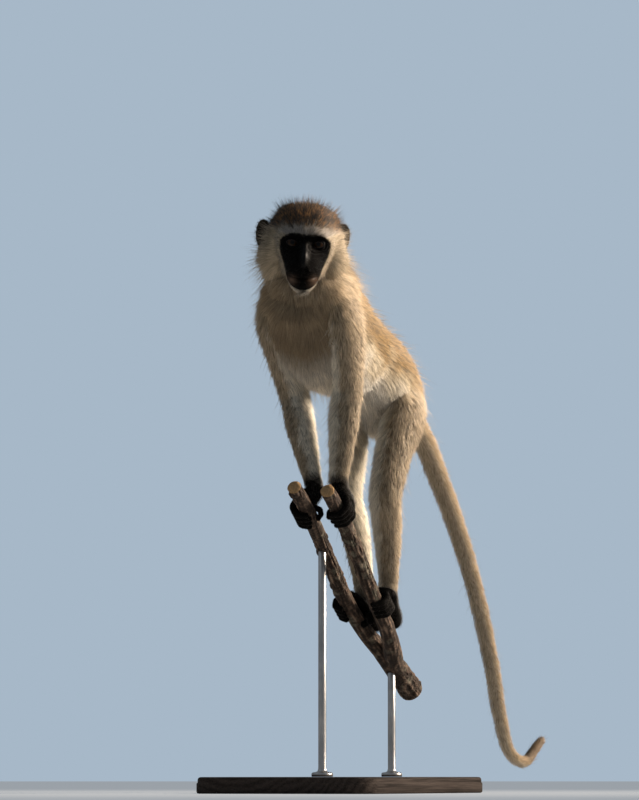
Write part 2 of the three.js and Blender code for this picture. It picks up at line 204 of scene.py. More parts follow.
def spline(points, t):
    """A centripetal Catmull-Rom curve through the points: one cubic per span, with tangents weighted by the
    square roots of the distances between points, at shares t of the way."""
    points = np.asarray(points, float)
    padded = np.vstack([2 * points[0] - points[1], points, 2 * points[-1] - points[-2]])
    at = np.clip(t, 0, 1) * (len(points) - 1)
    index = np.minimum(at.astype(int), len(points) - 2)
    weight = (at - index)[:, None]
    p0, p1, p2, p3 = (padded[index + k] for k in range(4))
    spans = (p1 - p0, p2 - p1, p3 - p2)
    d0, d1, d2 = (np.sqrt(np.linalg.norm(span, axis=1))[:, None] for span in spans)
    d1 = np.where(d1 < 1e-4, 1, d1)
    d0 = np.where(d0 < 1e-4, d1, d0)
    d2 = np.where(d2 < 1e-4, d1, d2)
    start = ((p1 - p0) / d0 - (p2 - p0) / (d0 + d1) + (p2 - p1) / d1) * d1
    end = ((p2 - p1) / d1 - (p3 - p1) / (d1 + d2) + (p3 - p2) / d2) * d1
    cubic = 2 * p1 - 2 * p2 + start + end
    square = -3 * p1 + 3 * p2 - 2 * start - end
    return p1 + weight * (start + weight * (square + weight * cubic))


PATH_STOPS = np.linspace(0, 1, 201)  # the shares of a path between which its length is measured


class Path:
    """A body carried along a smooth path through its stations: at each share of the path a centre, the
    directions along, across (as near to the side direction as can be) and over, the half sizes across and
    over, and the coat's depth. Each end may have a dome, given by its length."""

    def __init__(self, stations, side=(1, 0, 0), domes=(0, 0)):
        table = np.array(stations, float)
        self.points, self.side, self.domes = table[:, :3], np.array(side, float), domes
        if table.shape[1] == 4:
            table = np.column_stack([table, table[:, 3]])
        self.sizes = table[:, 3:5]
        self.coats = table[:, 5] if table.shape[1] > 5 else np.zeros(len(table))
        steps = np.linalg.norm(np.diff(spline(self.points, PATH_STOPS), axis=0), axis=1)
        self.reached = np.concatenate([[0], np.cumsum(steps)])
        self.length = self.reached[-1]

    def at(self, t):
        """Centre, along, across, over, sizes and coat at each share t."""
        step = 1e-4
        after, before = np.minimum(t + step, 1), np.maximum(t - step, 0)
        along = unit(spline(self.points, after) - spline(self.points, before))
        across = unit(self.side - (along @ self.side)[:, None] * along)
        coat = np.interp(t, np.linspace(0, 1, len(self.points)), self.coats)
        return spline(self.points, t), along, across, np.cross(along, across), spline(self.sizes, t), coat

    def share_of(self, distance):
        """The share of the path at a distance along it from its start."""
        return np.interp(distance, self.reached, PATH_STOPS)


def closed_grid(rings, first, last):
    """Points and triangles of a grid of rings, each a loop, closed by a fan to a pole at each end."""
    count, sides = rings.shape[:2]
    points = np.vstack([rings.reshape(-1, 3), first, last])
    j = np.arange(sides)
    k = (j + 1) % sides
    low = (np.arange(count - 1) * sides)[:, None]
    a, b, c, d = (x.ravel() for x in (low + j, low + k, low + sides + j, low + sides + k))
    walls = np.concatenate([np.stack([a, b, c], 1), np.stack([b, d, c], 1)])
    pole = np.full(sides, count * sides)
    end = (count - 1) * sides
    caps = [np.stack([pole, k, j], 1), np.stack([pole + 1, end + j, end + k], 1)]
    return points, np.concatenate([walls, *caps])


def loft(path, rings, sides):
    """The path's body as a closed surface, drawn in by the coat's depth. A ring is
    centre + across cos(turn) width + over sin(turn) depth, and domes round the ends as ellipses."""
    turn = full_turn(sides)
    t = np.linspace(0, 1, rings)
    scale, advance = np.ones(rings), np.zeros(rings)
    bow = np.radians([75, 60, 45, 30, 15])
    for end, dome in enumerate(path.domes):
        if dome:
            cap = [np.full(5, float(end)), np.cos(bow), np.sin(bow) * dome * (1 if end else -1)]
            order = slice(None, None, -1) if end else slice(None)
            parts = [(values[order], old) for values, old in zip(cap, (t, scale, advance))]
            t, scale, advance = (np.concatenate(p[::-1] if end else p) for p in parts)
    centre, along, across, over, size, coat = path.at(t)
    size = np.maximum(size - coat[:, None], 1.0) * scale[:, None]
    dome_shrink = np.where(advance != 0, 1 - coat / max(*path.domes, 20), 1)
    centre = centre + along * (advance * dome_shrink)[:, None]
    ring = centre[:, None] + across[:, None] * (np.cos(turn)[None, :, None] * size[:, None, :1])
    ring = ring + over[:, None] * (np.sin(turn)[None, :, None] * size[:, None, 1:])
    poles = []
    for end in (0, 1):
        point, direction = path.at(np.array([float(end)]))[:2]
        depth = path.domes[end] * (1 - coat[-end] / max(path.domes[end], 20))
        poles.append(point + direction * (depth if end else -depth))
    return closed_grid(ring, poles[0], poles[1])


def ellipsoid(centre, size, rings=12, sides=20):
    """Points centre + size * (sin a cos b, sin a sin b, cos a) over both angles."""
    a = np.linspace(0, math.pi, rings + 2)[1:-1, None]
    b = full_turn(sides)[None]
    ring = np.stack([np.sin(a) * np.cos(b), np.sin(a) * np.sin(b), np.cos(a) + 0 * b], -1)
    poles = np.array([[0, 0, 1.0]]), np.array([[0, 0, -1.0]])
    points, faces = closed_grid(ring, *poles)
    return points * size + centre, faces


def joined(shapes):
    """Several (points, faces) as one."""
    counts = np.cumsum([0] + [len(points) for points, _ in shapes[:-1]])
    return (
        np.vstack([points for points, _ in shapes]),
        np.vstack([faces + start for (_, faces), start in zip(shapes, counts)]),
    )


def ripple(points, size, seed, count=10):
    """A smooth random field round 0, seldom beyond -2 and 2: a sum of sine waves in random directions, whose
    wavelengths lie round the size."""
    rng = np.random.default_rng(seed)
    waves = unit(rng.normal(size=(count, 3))) * (2 * math.pi / size) * rng.uniform(0.6, 1.7, (count, 1))
    phase = rng.uniform(0, 2 * math.pi, count)
    return np.sin(points @ waves.T + phase).sum(1) / math.sqrt(count / 1.4)


def about(axis, angle):
    """The matrix of a turn about one axis: 0 is X, 1 is Y, 2 is Z."""
    c, s = math.cos(angle), math.sin(angle)
    i, j = (axis + 1) % 3, (axis + 2) % 3
    turn = np.eye(3)
    turn[i, i], turn[i, j], turn[j, i], turn[j, j] = c, -s, s, c
    return turn


HEAD_AXES = about(2, HEAD_TURN) @ about(0, HEAD_DIP) @ about(1, HEAD_TILT)


def from_head(points):
    """Points of the head's own frame, placed in the world."""
    return points @ HEAD_AXES.T + HEAD_CENTRE


def in_head(points):
    """Points of the world, seen in the head's own frame."""
    return (points - HEAD_CENTRE) @ HEAD_AXES


# ---------------- limbs as paths


def limb(rows):
    """A limb's path from rows of a place, its two half sizes and the coat's depth there."""
    return Path([(*place, *sizes) for place, *sizes in rows], domes=(12, 0))


def arm_path(name):
    """An arm from the shoulder over the elbow to the wrist."""
    side = SIDE[name]
    shoulder, elbow, wrist = (np.array(x[name], float) for x in (SHOULDER, ELBOW, WRIST))
    return limb([
        (shoulder + (-side * 8, 4, 19), 18, 31, 8),
        (shoulder + (0, 0, -8), 21, 33, 8),
        ((shoulder + elbow) / 2 + (side * 2, 0, 0), 19.5, 27, 7),
        (elbow + (0, 4, 0), 17, 19.5, 5.5),
        (elbow + (wrist - elbow) * 0.35 + (0, 1, 0), 17, 17, 5),
        (elbow + (wrist - elbow) * 0.75, 13, 12.5, 3.5),
        (wrist, 9.5, 9, 1.4),
    ])


def leg_path(name):
    """A leg from the hip over the knee to the ankle."""
    side = SIDE[name]
    hip, knee, ankle = (np.array(x[name], float) for x in (HIP, KNEE, ANKLE))
    return limb([
        (hip + (-side * 2, 8, 22), 20, 34, 8),
        (hip + (side * 5, 0, -14), 23, 38, 8.5),
        (hip + (knee - hip) * 0.55 + (side * 3, 1, 0), 21, 29, 7.5),
        (knee + (side * 1, 3, 0), 19, 22, 6),
        (knee + (ankle - knee) * 0.3 + (0, 6, 0), 17, 19, 5),
        (knee + (ankle - knee) * 0.7 + (0, 4, 0), 13, 13.5, 3.5),
        (ankle, 9.5, 11, 1.5),
    ])


PATHS = {
    "trunk": Path(TRUNK, domes=(20, 18)),
    "neck": Path(NECK),
    "tail": Path(TAIL, domes=(0, 9)),
    "arm_right": arm_path("right"),
    "arm_left": arm_path("left"),
    "leg_right": leg_path("right"),
    "leg_left": leg_path("left"),
}


def grip_on(path, station, side):
    """A function that gives a point by the prong: so far forward of the station along the prong, at an angle
    from the prong's top towards the monkey's outer side, and so far out from the prong's axis."""
    start = np.interp(station / (len(path.points) - 1), PATH_STOPS, path.reached)

    def point(forward, angle, reach):
        centre, _, across, top = path.at(path.share_of(np.array([start + forward])))[:4]
        angle = math.radians(angle)
        return (centre + math.cos(angle) * reach * top + side * math.sin(angle) * reach * across)[0]

    return point


def digit(point, along, forward, advance, start, end, thick, reach):
    """A finger or toe wound round the prong from one angle to another, advancing as it goes, with a soft
    swelling at each joint and a rounded tip."""
    share = np.linspace(0, 1, 7)
    radius = thick * (1 - 0.22 * share) * (1 + 0.05 * np.cos(6 * math.pi * share))
    rows = []
    for s, r in zip(share, radius):
        rows.append((*point(forward + advance * s, start + (end - start) * s, reach + r), r, r))
    return Path(rows, side=along, domes=(0, thick * 0.8))


DIGIT_PITCH = 7.6  # from one finger or toe to the next, along the prong


def hand_paths(name):
    """The palm, the four fingers and the thumb round their prong."""
    point = grip_on(Path(BRANCH[name]), HAND_STATION[name], SIDE[name])
    along = unit(point(1, 0, 0) - point(0, 0, 0))
    wrist, elbow = np.array(WRIST[name], float), np.array(ELBOW[name], float)
    up = GRIP_CLEARANCE
    palm = [
        (*(wrist + (elbow - wrist) * 0.16), 8.6, 8.0),
        (*(wrist + (elbow - wrist) * 0.03), 9.0, 8.5),
        (*point(1, -4, up + 15), 10.5, 8.7),
        (*point(2, 12, up + 7.5), 14.2, 8.7),
        (*point(3, 48, up + 4.5), 14.2, 5.7),
    ]
    fingers = []
    for i in range(4):
        forward = 3 + (i - 1.5) * DIGIT_PITCH
        fingers.append(digit(point, along, forward, 1, 42, 205 - 8 * abs(i - 2), 3.6, up))
    thumb = digit(point, along, -9, 6, -12, -114, 3.5, up - 0.9)
    return [Path(palm, side=along, domes=(0, 4)), *fingers, thumb]


def foot_paths(name):
    """The heel and sole, the ankle, the four toes and the big toe round their prong."""
    point = grip_on(Path(BRANCH[name]), FOOT_STATION[name], SIDE[name])
    along = unit(point(1, 0, 0) - point(0, 0, 0))
    ankle, knee = np.array(ANKLE[name], float), np.array(KNEE[name], float)
    up = GRIP_CLEARANCE
    sole = [
        (*point(-14, 0, up + 11), 9.2, 8.7),
        (*point(2, 2, up + 10), 11.2, 9.7),
        (*point(26, 6, up + 7.5), 12.2, 7.2),
        (*point(50, 18, up + 6.5), 13.7, 6.2),
        (*point(60, 24, up + 5), 12.2, 4.8),
    ]
    above = ankle + (knee - ankle) * 0.14
    joint = [(*above, 9, 10.2), (*ankle, 9, 10.5), (*point(0, 2, up + 10), 9.5, 11)]
    toes = [digit(point, along, 38 + i * DIGIT_PITCH, 12, 34, 168, 3.7, up) for i in range(4)]
    big_toe = digit(point, along, 20, 12, -14, -128, 4.6, up)
    return [Path(sole, domes=(8, 5)), Path(joint), *toes, big_toe]


# ---------------- the head's form


def head_field(points):
    """Roughly the distance outside the blended head, in its own frame: each ellipsoid gives
    reach (reach - 1) / slope, and the blend is -B log(sum of exp(-distance / B))."""
    total = np.zeros(len(points))
    for form in HEAD_FORMS:
        scaled = (points - form[:3]) / form[3:]
        reach = np.linalg.norm(scaled, axis=1)
        slope = np.maximum(np.linalg.norm(scaled / form[3:], axis=1), 1e-6)
        total += np.exp(-np.minimum(reach * (reach - 1) / slope, 200) / FORM_BLEND)
    return -FORM_BLEND * np.log(np.maximum(total, 1e-30))


def head_reach(directions):
    """How far the head's surface is from the pivot along each direction, by halving the range 24 times."""
    near, far = np.zeros(len(directions)), np.full(len(directions), 140.0)
    for _ in range(24):
        middle = (near + far) / 2
        inside = head_field(HEAD_PIVOT + directions * middle[:, None]) < 0
        near, far = np.where(inside, middle, near), np.where(inside, far, middle)
    return near


def bezier(points, t):
    """A cubic Bezier curve at each share t."""
    t = t[:, None]
    a, b, c, d = (np.array(p, float) for p in points)
    return a * (1 - t) ** 3 + 3 * b * t * (1 - t) ** 2 + 3 * c * t**2 * (1 - t) + d * t**3


MASK_WIDEST, MASK_CHIN = (27.5, 1.0), (0.0, -51.0)
MASK_HALF = [  # the bare face seen from the front: left and up, from the brow's middle round to the chin
    [(0, 9.5), (12, 12), (21.5, 11.5), MASK_WIDEST],
    [MASK_WIDEST, (28.5, -13), (22.5, -19), (19.6, -31)],
    [(19.6, -31), (18.2, -44), (11, -51), MASK_CHIN],
]
MASK_STEPS = 14  # straight steps along each of the three curves


def mask_distance(left, up):
    """How far outside the bare face's outline each point lies as seen from the front, negative inside it:
    the distance to the nearest stretch of the outline, signed by the outline's breadth at that height."""
    t = np.linspace(0, 1, MASK_STEPS, endpoint=False)
    outline = np.vstack([*(bezier(part, t) for part in MASK_HALF), MASK_CHIN])
    p = np.column_stack([np.abs(left), up])
    a, b = outline[:-1], outline[1:]
    span = b - a
    share = ((p[:, None] - a) * span).sum(-1) / (span**2).sum(-1)
    nearest = a + np.clip(share, 0, 1)[..., None] * span
    distance = np.linalg.norm(p[:, None] - nearest, axis=-1).min(1)
    upper, lower = outline[: MASK_STEPS + 1], outline[:9:-1]
    breadth = np.where(up > MASK_WIDEST[1], MASK_WIDEST[0], np.interp(up, lower[:, 1], lower[:, 0]))
    inside = (p[:, 0] < breadth) & (up < np.interp(p[:, 0], *upper.T)) & (up > MASK_CHIN[1])
    return np.where(inside, -distance, distance)


def outside_mask(points):
    """How far each point of the head is outside the bare face, growing quickly behind the cheeks."""
    left, back, up = points.T
    return mask_distance(left, up) + 5 * smoothstep(-26, -8, back) + 30 * smoothstep(-12, 4, back)


def head_coat(points):
    """The coat's depth over the head, in its own frame: next to none on the bare face, growing away from its
    edge to 5.8 on the crown, 9 on the cheeks and 9.5 at the nape."""
    _, back, up = points.T
    outside = outside_mask(points)
    crown = smoothstep(2, 26, up)
    nape = smoothstep(5, 40, back)
    full = (9 - 3.2 * crown) * (1 - nape) + 9.5 * nape
    return 0.3 + (full - 0.3) * smoothstep(-2.5, 13, outside)


def brow_line(left):
    """The height of the brow ridge across the face."""
    return 7.4 + 0.9 * bump(np.abs(left), 15, 8) - 1.4 * smoothstep(19, 27, np.abs(left))


def face_relief(left, up):
    """How far the bare face stands out from the head's plain form, in millimetres: a sum of bells and ridges
    for the brow, the eye sockets, the nose, the nostrils, the lips, the chin and the folds."""
    side = np.abs(left)
    brow = 2.1 * bump(up, brow_line(left), 2.9) * (1 - smoothstep(20, 28, side))
    brow *= 1 - 0.45 * bump(side, 0, 4)
    frown = -0.7 * bump(side, 1.6, 0.9) * bump(up, 7, 4)
    across, over = (side - EYE_PLACE[0]) / 9.6, (up - EYE_PLACE[2] + 0.4) / 7.0
    socket = -3.0 * np.exp(-((across**2 + over**2) ** 1.6))
    below = np.hypot(across, over)
    bag = (0.75 * bump(below, 1.0, 0.13) - 0.55 * bump(below, 1.24, 0.1)) * smoothstep(0.3, -0.3, over)
    bridge = 2.5 * bump(side, 0, 2.7) * smoothstep(6, -2, up) * (1 - smoothstep(-17, -23, up))
    flank = -2.0 * bump(side, 6.6, 3.2) * bump(up, -10, 9)
    tip = 1.5 * spot(side / 5.6, (up + 22.6) / 4.0)
    wing = 1.2 * spot((side - 5.2) / 2.5, (up + 25.2) / 3.2)
    slant = (side - 3.4) + 0.55 * (up + 26.2)
    nostril = -3.0 * spot(slant / 1.15, (up + 26.2) / 2.6)
    septum = 0.5 * bump(side, 0, 1.1) * bump(up, -27, 3)
    philtrum = -0.5 * bump(side, 0, 1.0) * bump(up, -31.5, 2.6)
    mouth = -37.0 + 0.006 * side**2
    lips = 1.1 * bump(up, mouth + 3.0, 2.4) + 1.0 * bump(up, mouth - 2.6, 2.2)
    lips *= 1 - smoothstep(11, 17, side)
    parting = -1.9 * bump(up, mouth, 0.75) * (1 - smoothstep(13.5, 17.5, side))
    smile = -0.5 * bump(side - 13.2 + 0.45 * (up + 30), 0, 1.3) * bump(up, -29, 7)
    chin = 1.2 * spot(side / 7, (up + 46) / 4.5)
    fold = -0.45 * bump(up, -42.2, 1.3) * (1 - smoothstep(6, 11, side))
    upper = brow + frown + socket + bag + bridge + flank + tip + wing + nostril + septum
    return upper + philtrum + lips + parting + smile + chin + fold


LID_WIDTH, LID_TOP, LID_BOTTOM = 6.2, 3.6, 3.3  # half the opening's width, and its heights over and under
LID_ROUND = 0.62  # the almond's power: 0.5 gives an ellipse, and 1 a parabola
LID_TILT = 0.55  # how much higher the outer corner sits than the middle


def lid_level(left, up):
    """Below 0 inside the opening between the lids: an almond whose inner corner sits a little lower."""
    across = (np.abs(left) - EYE_PLACE[0]) / LID_WIDTH
    over = up - EYE_PLACE[2] - LID_TILT * across
    reach = np.where(over > 0, LID_TOP, LID_BOTTOM) * np.maximum(1 - across**2, 0.0) ** LID_ROUND + 1e-3
    return np.where(np.abs(across) < 1, np.abs(over) / reach - 1, np.abs(across) + np.abs(over))


def face_points(points):
    """Points of the head's skin in its own frame, moved along their lines from the pivot onto the finished
    face: the blended form, less the coat's depth, with the relief, the lids over the eyeball, and the
    opening sunk behind the eyeball's front."""
    direction = unit(points - HEAD_PIVOT)
    reach = head_reach(direction)
    plain = HEAD_PIVOT + direction * reach[:, None]
    left, up = plain[:, 0], plain[:, 2]
    keep = smoothstep(3, -2, mask_distance(left, up))
    reach = reach - head_coat(plain) + face_relief(left, up) * keep
    side = np.sign(left) + (left == 0)
    eye = EYE_PLACE * np.column_stack([side, np.ones((len(side), 2))])
    near = HEAD_PIVOT - eye
    b = (near * direction).sum(1)
    root = b**2 - (near**2).sum(1)
    lid = -b + np.sqrt(np.maximum(root + (EYE_RADIUS + 0.95) ** 2, 0))
    ball = -b + np.sqrt(np.maximum(root + EYE_RADIUS**2, 0))
    over_ball = np.hypot(left - eye[:, 0], up - eye[:, 2])
    cover = smoothstep(EYE_RADIUS + 1.6, EYE_RADIUS - 1.6, over_ball)
    reach = reach + cover * np.maximum(lid - reach, 0)
    opening = smoothstep(0.02, -0.1, lid_level(left, up))
    return HEAD_PIVOT + direction * (reach * (1 - opening) + (ball - 2.2) * opening)[:, None]


def head_grid(rings=90, sides=120):
    """The whole head under its coat, as rings about the line straight ahead."""
    aside = np.pi * np.linspace(0, 1, rings + 2)[1:-1, None]
    around = full_turn(sides)[None]
    out = np.sin(aside)
    ring = np.stack([out * np.cos(around), -np.cos(aside) + 0 * around, -out * np.sin(around)], -1)
    points, faces = closed_grid(ring, np.array([[0, -1.0, 0]]), np.array([[0, 1.0, 0]]))
    reach = head_reach(points)
    plain = HEAD_PIVOT + points * reach[:, None]
    return HEAD_PIVOT + points * (reach - head_coat(plain))[:, None], faces


def ear_turn(side):
    """The turn that sets an ear's own axes in the head: leaned out, then swung to face aside."""
    return about(2, side * math.radians(38)) @ about(1, side * math.radians(10))


def ear_shell(name):
    """An ear: an ellipsoid whose front is drawn back into a bowl by (1 - r^2)^1.15, with a folded rim."""
    points, faces = ellipsoid((0, 0, 0), (1, 1, 1), 40, 60)
    x, y, z = points.T
    r2 = np.clip(x**2 + z**2, 0, 1)
    edge = np.sqrt(r2)
    front = y < 0
    bowl = 7.2 * (1 - r2) ** 1.15 - 0.9 * bump(edge, 0.62, 0.12) * (z > -0.5)
    depth = np.where(front, -4.4 * np.abs(y) ** 0.8 + bowl, 4.4 * y)
    narrow = 1 - 0.12 * smoothstep(0, 1, -z)
    shape = np.column_stack([x * 11.8 * narrow, depth, z * 18.2])
    side = SIDE[name]
    aside, back, up = EAR_PLACE[name]
    return shape @ ear_turn(side).T + np.array([side * aside, back, up]), faces


# ---------------- where a point is


def tube_place(path, points):
    """For each point the nearest place on a path: the distance outside its body, the share along it, the
    angle round it, the direction along it, and the coat's depth there."""
    t = np.linspace(0, 1, 140)
    batch = 40000  # points compared with the path at a time
    centre, along, across, over, size, coat = path.at(t)
    index = np.empty(len(points), int)
    square = (centre**2).sum(1)
    for start in range(0, len(points), batch):
        some = slice(start, start + batch)
        index[some] = (square - 2 * points[some] @ centre.T).argmin(1)
    offset = points - centre[index]
    x, y, o = ((offset * axis[index]).sum(1) for axis in (across, over, along))
    end = np.where(index == 0, 0, 1)
    beyond = np.where((index == 0) & (o < 0) | (index == len(t) - 1) & (o > 0), o, 0)
    dome = np.maximum(np.array(path.domes, float)[end], 4)
    q = np.sqrt((x / size[index, 0]) ** 2 + (y / size[index, 1]) ** 2 + (beyond / dome) ** 2)
    r = np.sqrt(x**2 + y**2 + beyond**2)
    distance = (q - 1) * r / np.maximum(q, 1e-6)
    share = t[index] + o / path.length
    return distance, share, np.arctan2(y, x), along[index], coat[index]


PARTS = [*PATHS, "head"]


def places(points):
    """Every part's distance, share, angle, direction and coat depth at each point, in the order of PARTS.
    The head's share is the angle from straight ahead, its angle goes round that line, and its direction
    leads away from the face."""
    rows = [tube_place(path, points) for path in PATHS.values()]
    local = in_head(points)
    ahead = local - HEAD_PIVOT
    aside = np.arccos(np.clip(-unit(ahead)[:, 1], -1, 1)) / math.pi
    around = np.arctan2(-ahead[:, 2], ahead[:, 0])
    chin = smoothstep(-34, -50, local[:, 2]) * smoothstep(26, 12, np.abs(local[:, 0])) * (local[:, 1] < -8)
    backward = np.array([0, 1.3, 0]) - chin[:, None] * (0, 1.5, 0)
    flow = unit(unit(ahead * (1, 0, 1)) + backward) @ HEAD_AXES.T
    rows.append((head_field(local), aside, around, flow, head_coat(local)))
    return [np.stack([row[k] for row in rows]) for k in range(5)]


# ---------------- bare skin


def face_share(local, edge=0.6):
    """1 on the bare face and 0 beyond an edge outside it, for points in the head's frame."""
    near = np.linalg.norm(local, axis=1) < 90
    return smoothstep(edge, edge - 1.2, outside_mask(local) + 0.35 * ripple(local, 3, 13)) * near


def ear_share(local):
    """1 on the ears, for points in the head's frame: inside an ellipsoid round each."""
    share = np.zeros(len(local))
    for name, side in SIDE.items():
        aside, back, up = EAR_PLACE[name]
        away = (local - np.array([side * (aside + 1.5), back, up])) @ ear_turn(side)
        share = np.maximum(share, smoothstep(1.12, 1.0, np.linalg.norm(away / (13, 7.5, 20), axis=1)))
    return share


PAW_REACH = {"hand": 62, "foot": 88}  # how far its skin and digits lie from the middle of its grip
HOLD_REACH = {"hand": 34, "foot": 74}  # how much of the branch it covers


def grips(points):
    """For each hand and foot, its kind, each point's distance from the middle of its grip on the prong, and
    each point's height over the prong there."""
    for kind, stations in (("hand", HAND_STATION), ("foot", FOOT_STATION)):
        for name, station in stations.items():
            point = grip_on(Path(BRANCH[name]), station, SIDE[name])
            offset = points - point(0, 0, 0)
            yield kind, np.linalg.norm(offset, axis=1), offset @ (point(0, 0, 1) - point(0, 0, 0))


def paw_share(points, top=34, full=24):
    """1 on the hands and feet: near where a prong is gripped and no higher over it than full. It fades to 0
    at the height top, above the wrist or the ankle."""
    share = np.zeros(len(points))
    for kind, distance, height in grips(points):
        share = np.maximum(share, smoothstep(top, full, height) * (distance < PAW_REACH[kind]))
    return share


def digit_share(points):
    """1 on the fingers and toes, 0 on the palms, soles and limbs: by how low they are at their prong."""
    return paw_share(points, 16, 9)


def grip_share(points):
    """1 where the branch is held by a hand or a foot."""
    share = np.zeros(len(points))
    for kind, distance, _ in grips(points):
        reach = HOLD_REACH[kind]
        share = np.maximum(share, smoothstep(reach + 12, reach, distance))
    return share


def bare_share(points, edge=0.6):
    """1 on bare black skin: the face, the ears, the hands and the feet."""
    local = in_head(points)
    return np.maximum(np.maximum(face_share(local, edge), ear_share(local)), paw_share(points))


# ---------------- meshes


def new_mesh(name, points, faces):
    """A smooth-shaded mesh from points in millimetres and rows of corners, all of one length."""
    mesh = bpy.data.meshes.new(name)
    mesh.vertices.add(len(points))
    mesh.vertices.foreach_set("co", (points * MM).astype(np.float32).ravel())
    mesh.loops.add(faces.size)
    mesh.loops.foreach_set("vertex_index", faces.astype(np.int32).ravel())
    mesh.polygons.add(len(faces))
    mesh.polygons.foreach_set("loop_start", np.arange(0, faces.size, faces.shape[1], dtype=np.int32))
    mesh.update(calc_edges=True)
    mesh.shade_smooth()
    return mesh


def piece_of(name, points, faces):
    """A new piece from points in millimetres and rows of corners."""
    return new_piece(name, new_mesh(name, points, faces))


def new_piece(name, mesh):
    """An object in the scene that shows the mesh, the light or the camera."""
    piece = bpy.data.objects.new(name, mesh)
    bpy.context.scene.collection.objects.link(piece)
    return piece


def read_rows(collection, key, width, kind=np.float32):
    """One value of every item of a mesh's collection, as rows of that width."""
    values = np.empty(len(collection) * width, kind)
    collection.foreach_get(key, values)
    return values.reshape(-1, width)


def points_of(mesh):
    """The mesh's points in millimetres."""
    return read_rows(mesh.vertices, "co", 3).astype(float) / MM


def normals_of(mesh):
    return read_rows(mesh.vertex_normals, "vector", 3).astype(float)


def corners_of(mesh):
    """The three points of each triangle, by number."""
    mesh.calc_loop_triangles()
    return read_rows(mesh.loop_triangles, "vertices", 3, np.int32)


def edges_of(mesh):
    return read_rows(mesh.edges, "vertices", 2, np.int32)


def with_modifier(piece, kind, **values):
    """The piece's mesh with one modifier applied, in place of its old mesh."""
    modifier = piece.modifiers.new(kind, kind)
    for key, value in values.items():
        setattr(modifier, key, value)
    graph = bpy.context.evaluated_depsgraph_get()
    mesh = bpy.data.meshes.new_from_object(piece.evaluated_get(graph))
    piece.modifiers.remove(modifier)
    old, piece.data = piece.data, mesh
    bpy.data.meshes.remove(old)
    return mesh


def relaxed(points, edges, weight, rounds, swell=0.0):
    """Points moved to the mean of their neighbours, by their weight, a number of times. With a swell, every
    second round moves them back by that much more, which keeps thin forms from shrinking."""
    a, b = edges.T
    count = np.maximum(np.bincount(a, minlength=len(points)) + np.bincount(b, minlength=len(points)), 1)
    for turn in range(rounds):
        share = -weight * swell if swell and turn % 2 else weight
        for axis in range(3):
            x = points[:, axis]
            total = np.bincount(a, x[b], len(points)) + np.bincount(b, x[a], len(points))
            points[:, axis] = x + share * (total / count - x)
    return points


def put_points(mesh, points):
    """Moves the mesh's points to new places in millimetres."""
    mesh.vertices.foreach_set("co", (points * MM).astype(np.float32).ravel())
    mesh.update()


def set_numbers(mesh, name, values, kind="FLOAT"):
    """Keeps a number, a vector or a colour for each point, for the materials to read by its name."""
    attribute = mesh.attributes.new(name, kind, "POINT")
    key = {"FLOAT": "value", "FLOAT_VECTOR": "vector", "FLOAT_COLOR": "color"}[kind]
    attribute.data.foreach_set(key, np.ascontiguousarray(values, np.float32).ravel())




# ---------------- skin

FLESH = ["head", "face", "ear_left", "ear_right", "neck", "trunk"]
FLESH += [f"tail_{part}" for part in ("root", "upper", "middle", "lower", "tip")]
LIMBS = ("upper_arm", "forearm", "hand", "thigh", "shank", "foot")
FLESH += [f"{part}_{side}" for part in LIMBS for side in SIDE]


def body_shapes():
    """The flesh under the coat: the trunk, neck, tail and limbs, the hands and feet, the head and ears."""
    shapes = [loft(path, 60, 48) for path in PATHS.values()]
    shapes.append(ellipsoid((6, -126, 556), (31, 28, 28)))
    for name, side in SIDE.items():
        shapes += [loft(path, 26, 24) for path in hand_paths(name) + foot_paths(name)]
        shapes.append(ellipsoid((4 + side * 28, -114, 544), (14, 24, 24)))
        ear, faces = ear_shell(name)
        shapes.append((from_head(ear), faces))
        aside, back, up = EAR_PLACE[name]
        root, faces = ellipsoid((side * (aside - 9), back + 1, up - 2), (11, 6, 11))
        shapes.append((from_head(root), faces))
    points, faces = head_grid()
    return [*shapes, (from_head(points), faces)]


def melt_joints(mesh, rounds):
    """Smooths the remeshed body: lightly all over, and deeply under the coat where two parts meet."""
    points, edges = points_of(mesh), edges_of(mesh)
    distance = np.sort(places(points)[0], 0)
    meeting = np.exp(-np.maximum(distance[1] - distance[0], 0) / 8) * smoothstep(16, 8, distance[1])
    coated = 1 - bare_share(points, 6)
    relaxed(points, edges, np.full(len(points), 0.5), 14, swell=1.04)
    relaxed(points, edges, 0.6 * meeting * coated, rounds)
    relaxed(points, edges, 0.5 * coated, 6)
    put_points(mesh, points)
    return coated


def thin_out(piece, coated, keep):
    """Leaves fewer triangles under the coat, and nearly all of them on bare skin."""
    group = piece.vertex_groups.new(name="coated")
    for level in range(5):
        group.add(np.nonzero(np.round(coated * 4) == level)[0].tolist(), level / 4, "REPLACE")
    with_modifier(piece, "DECIMATE", ratio=keep, vertex_group="coated", vertex_group_factor=8.0)
    piece.vertex_groups.clear()


def refine_face(mesh):
    """Halves every edge of the bare face, and makes the whole skin triangles."""
    chosen = face_share(in_head(points_of(mesh)), 5) > 0
    net = bmesh.new()
    net.from_mesh(mesh)
    edges = [edge for edge in net.edges if chosen[edge.verts[0].index] and chosen[edge.verts[1].index]]
    bmesh.ops.subdivide_edges(net, edges=edges, cuts=1, use_grid_fill=True)
    bmesh.ops.triangulate(net, faces=net.faces[:])
    net.to_mesh(mesh)
    net.free()
    mesh.update()
    mesh.shade_smooth()


def shape_face(mesh):
    """Moves the skin of the face onto its finished form, which fades into the plain head outside it."""
    points = points_of(mesh)
    local = in_head(points)
    share = face_share(local, 9) * smoothstep(9, 5, outside_mask(local))
    chosen = np.nonzero(share > 0)[0]
    moved = from_head(face_points(local[chosen]))
    points[chosen] += (moved - points[chosen]) * share[chosen, None]
    put_points(mesh, points)


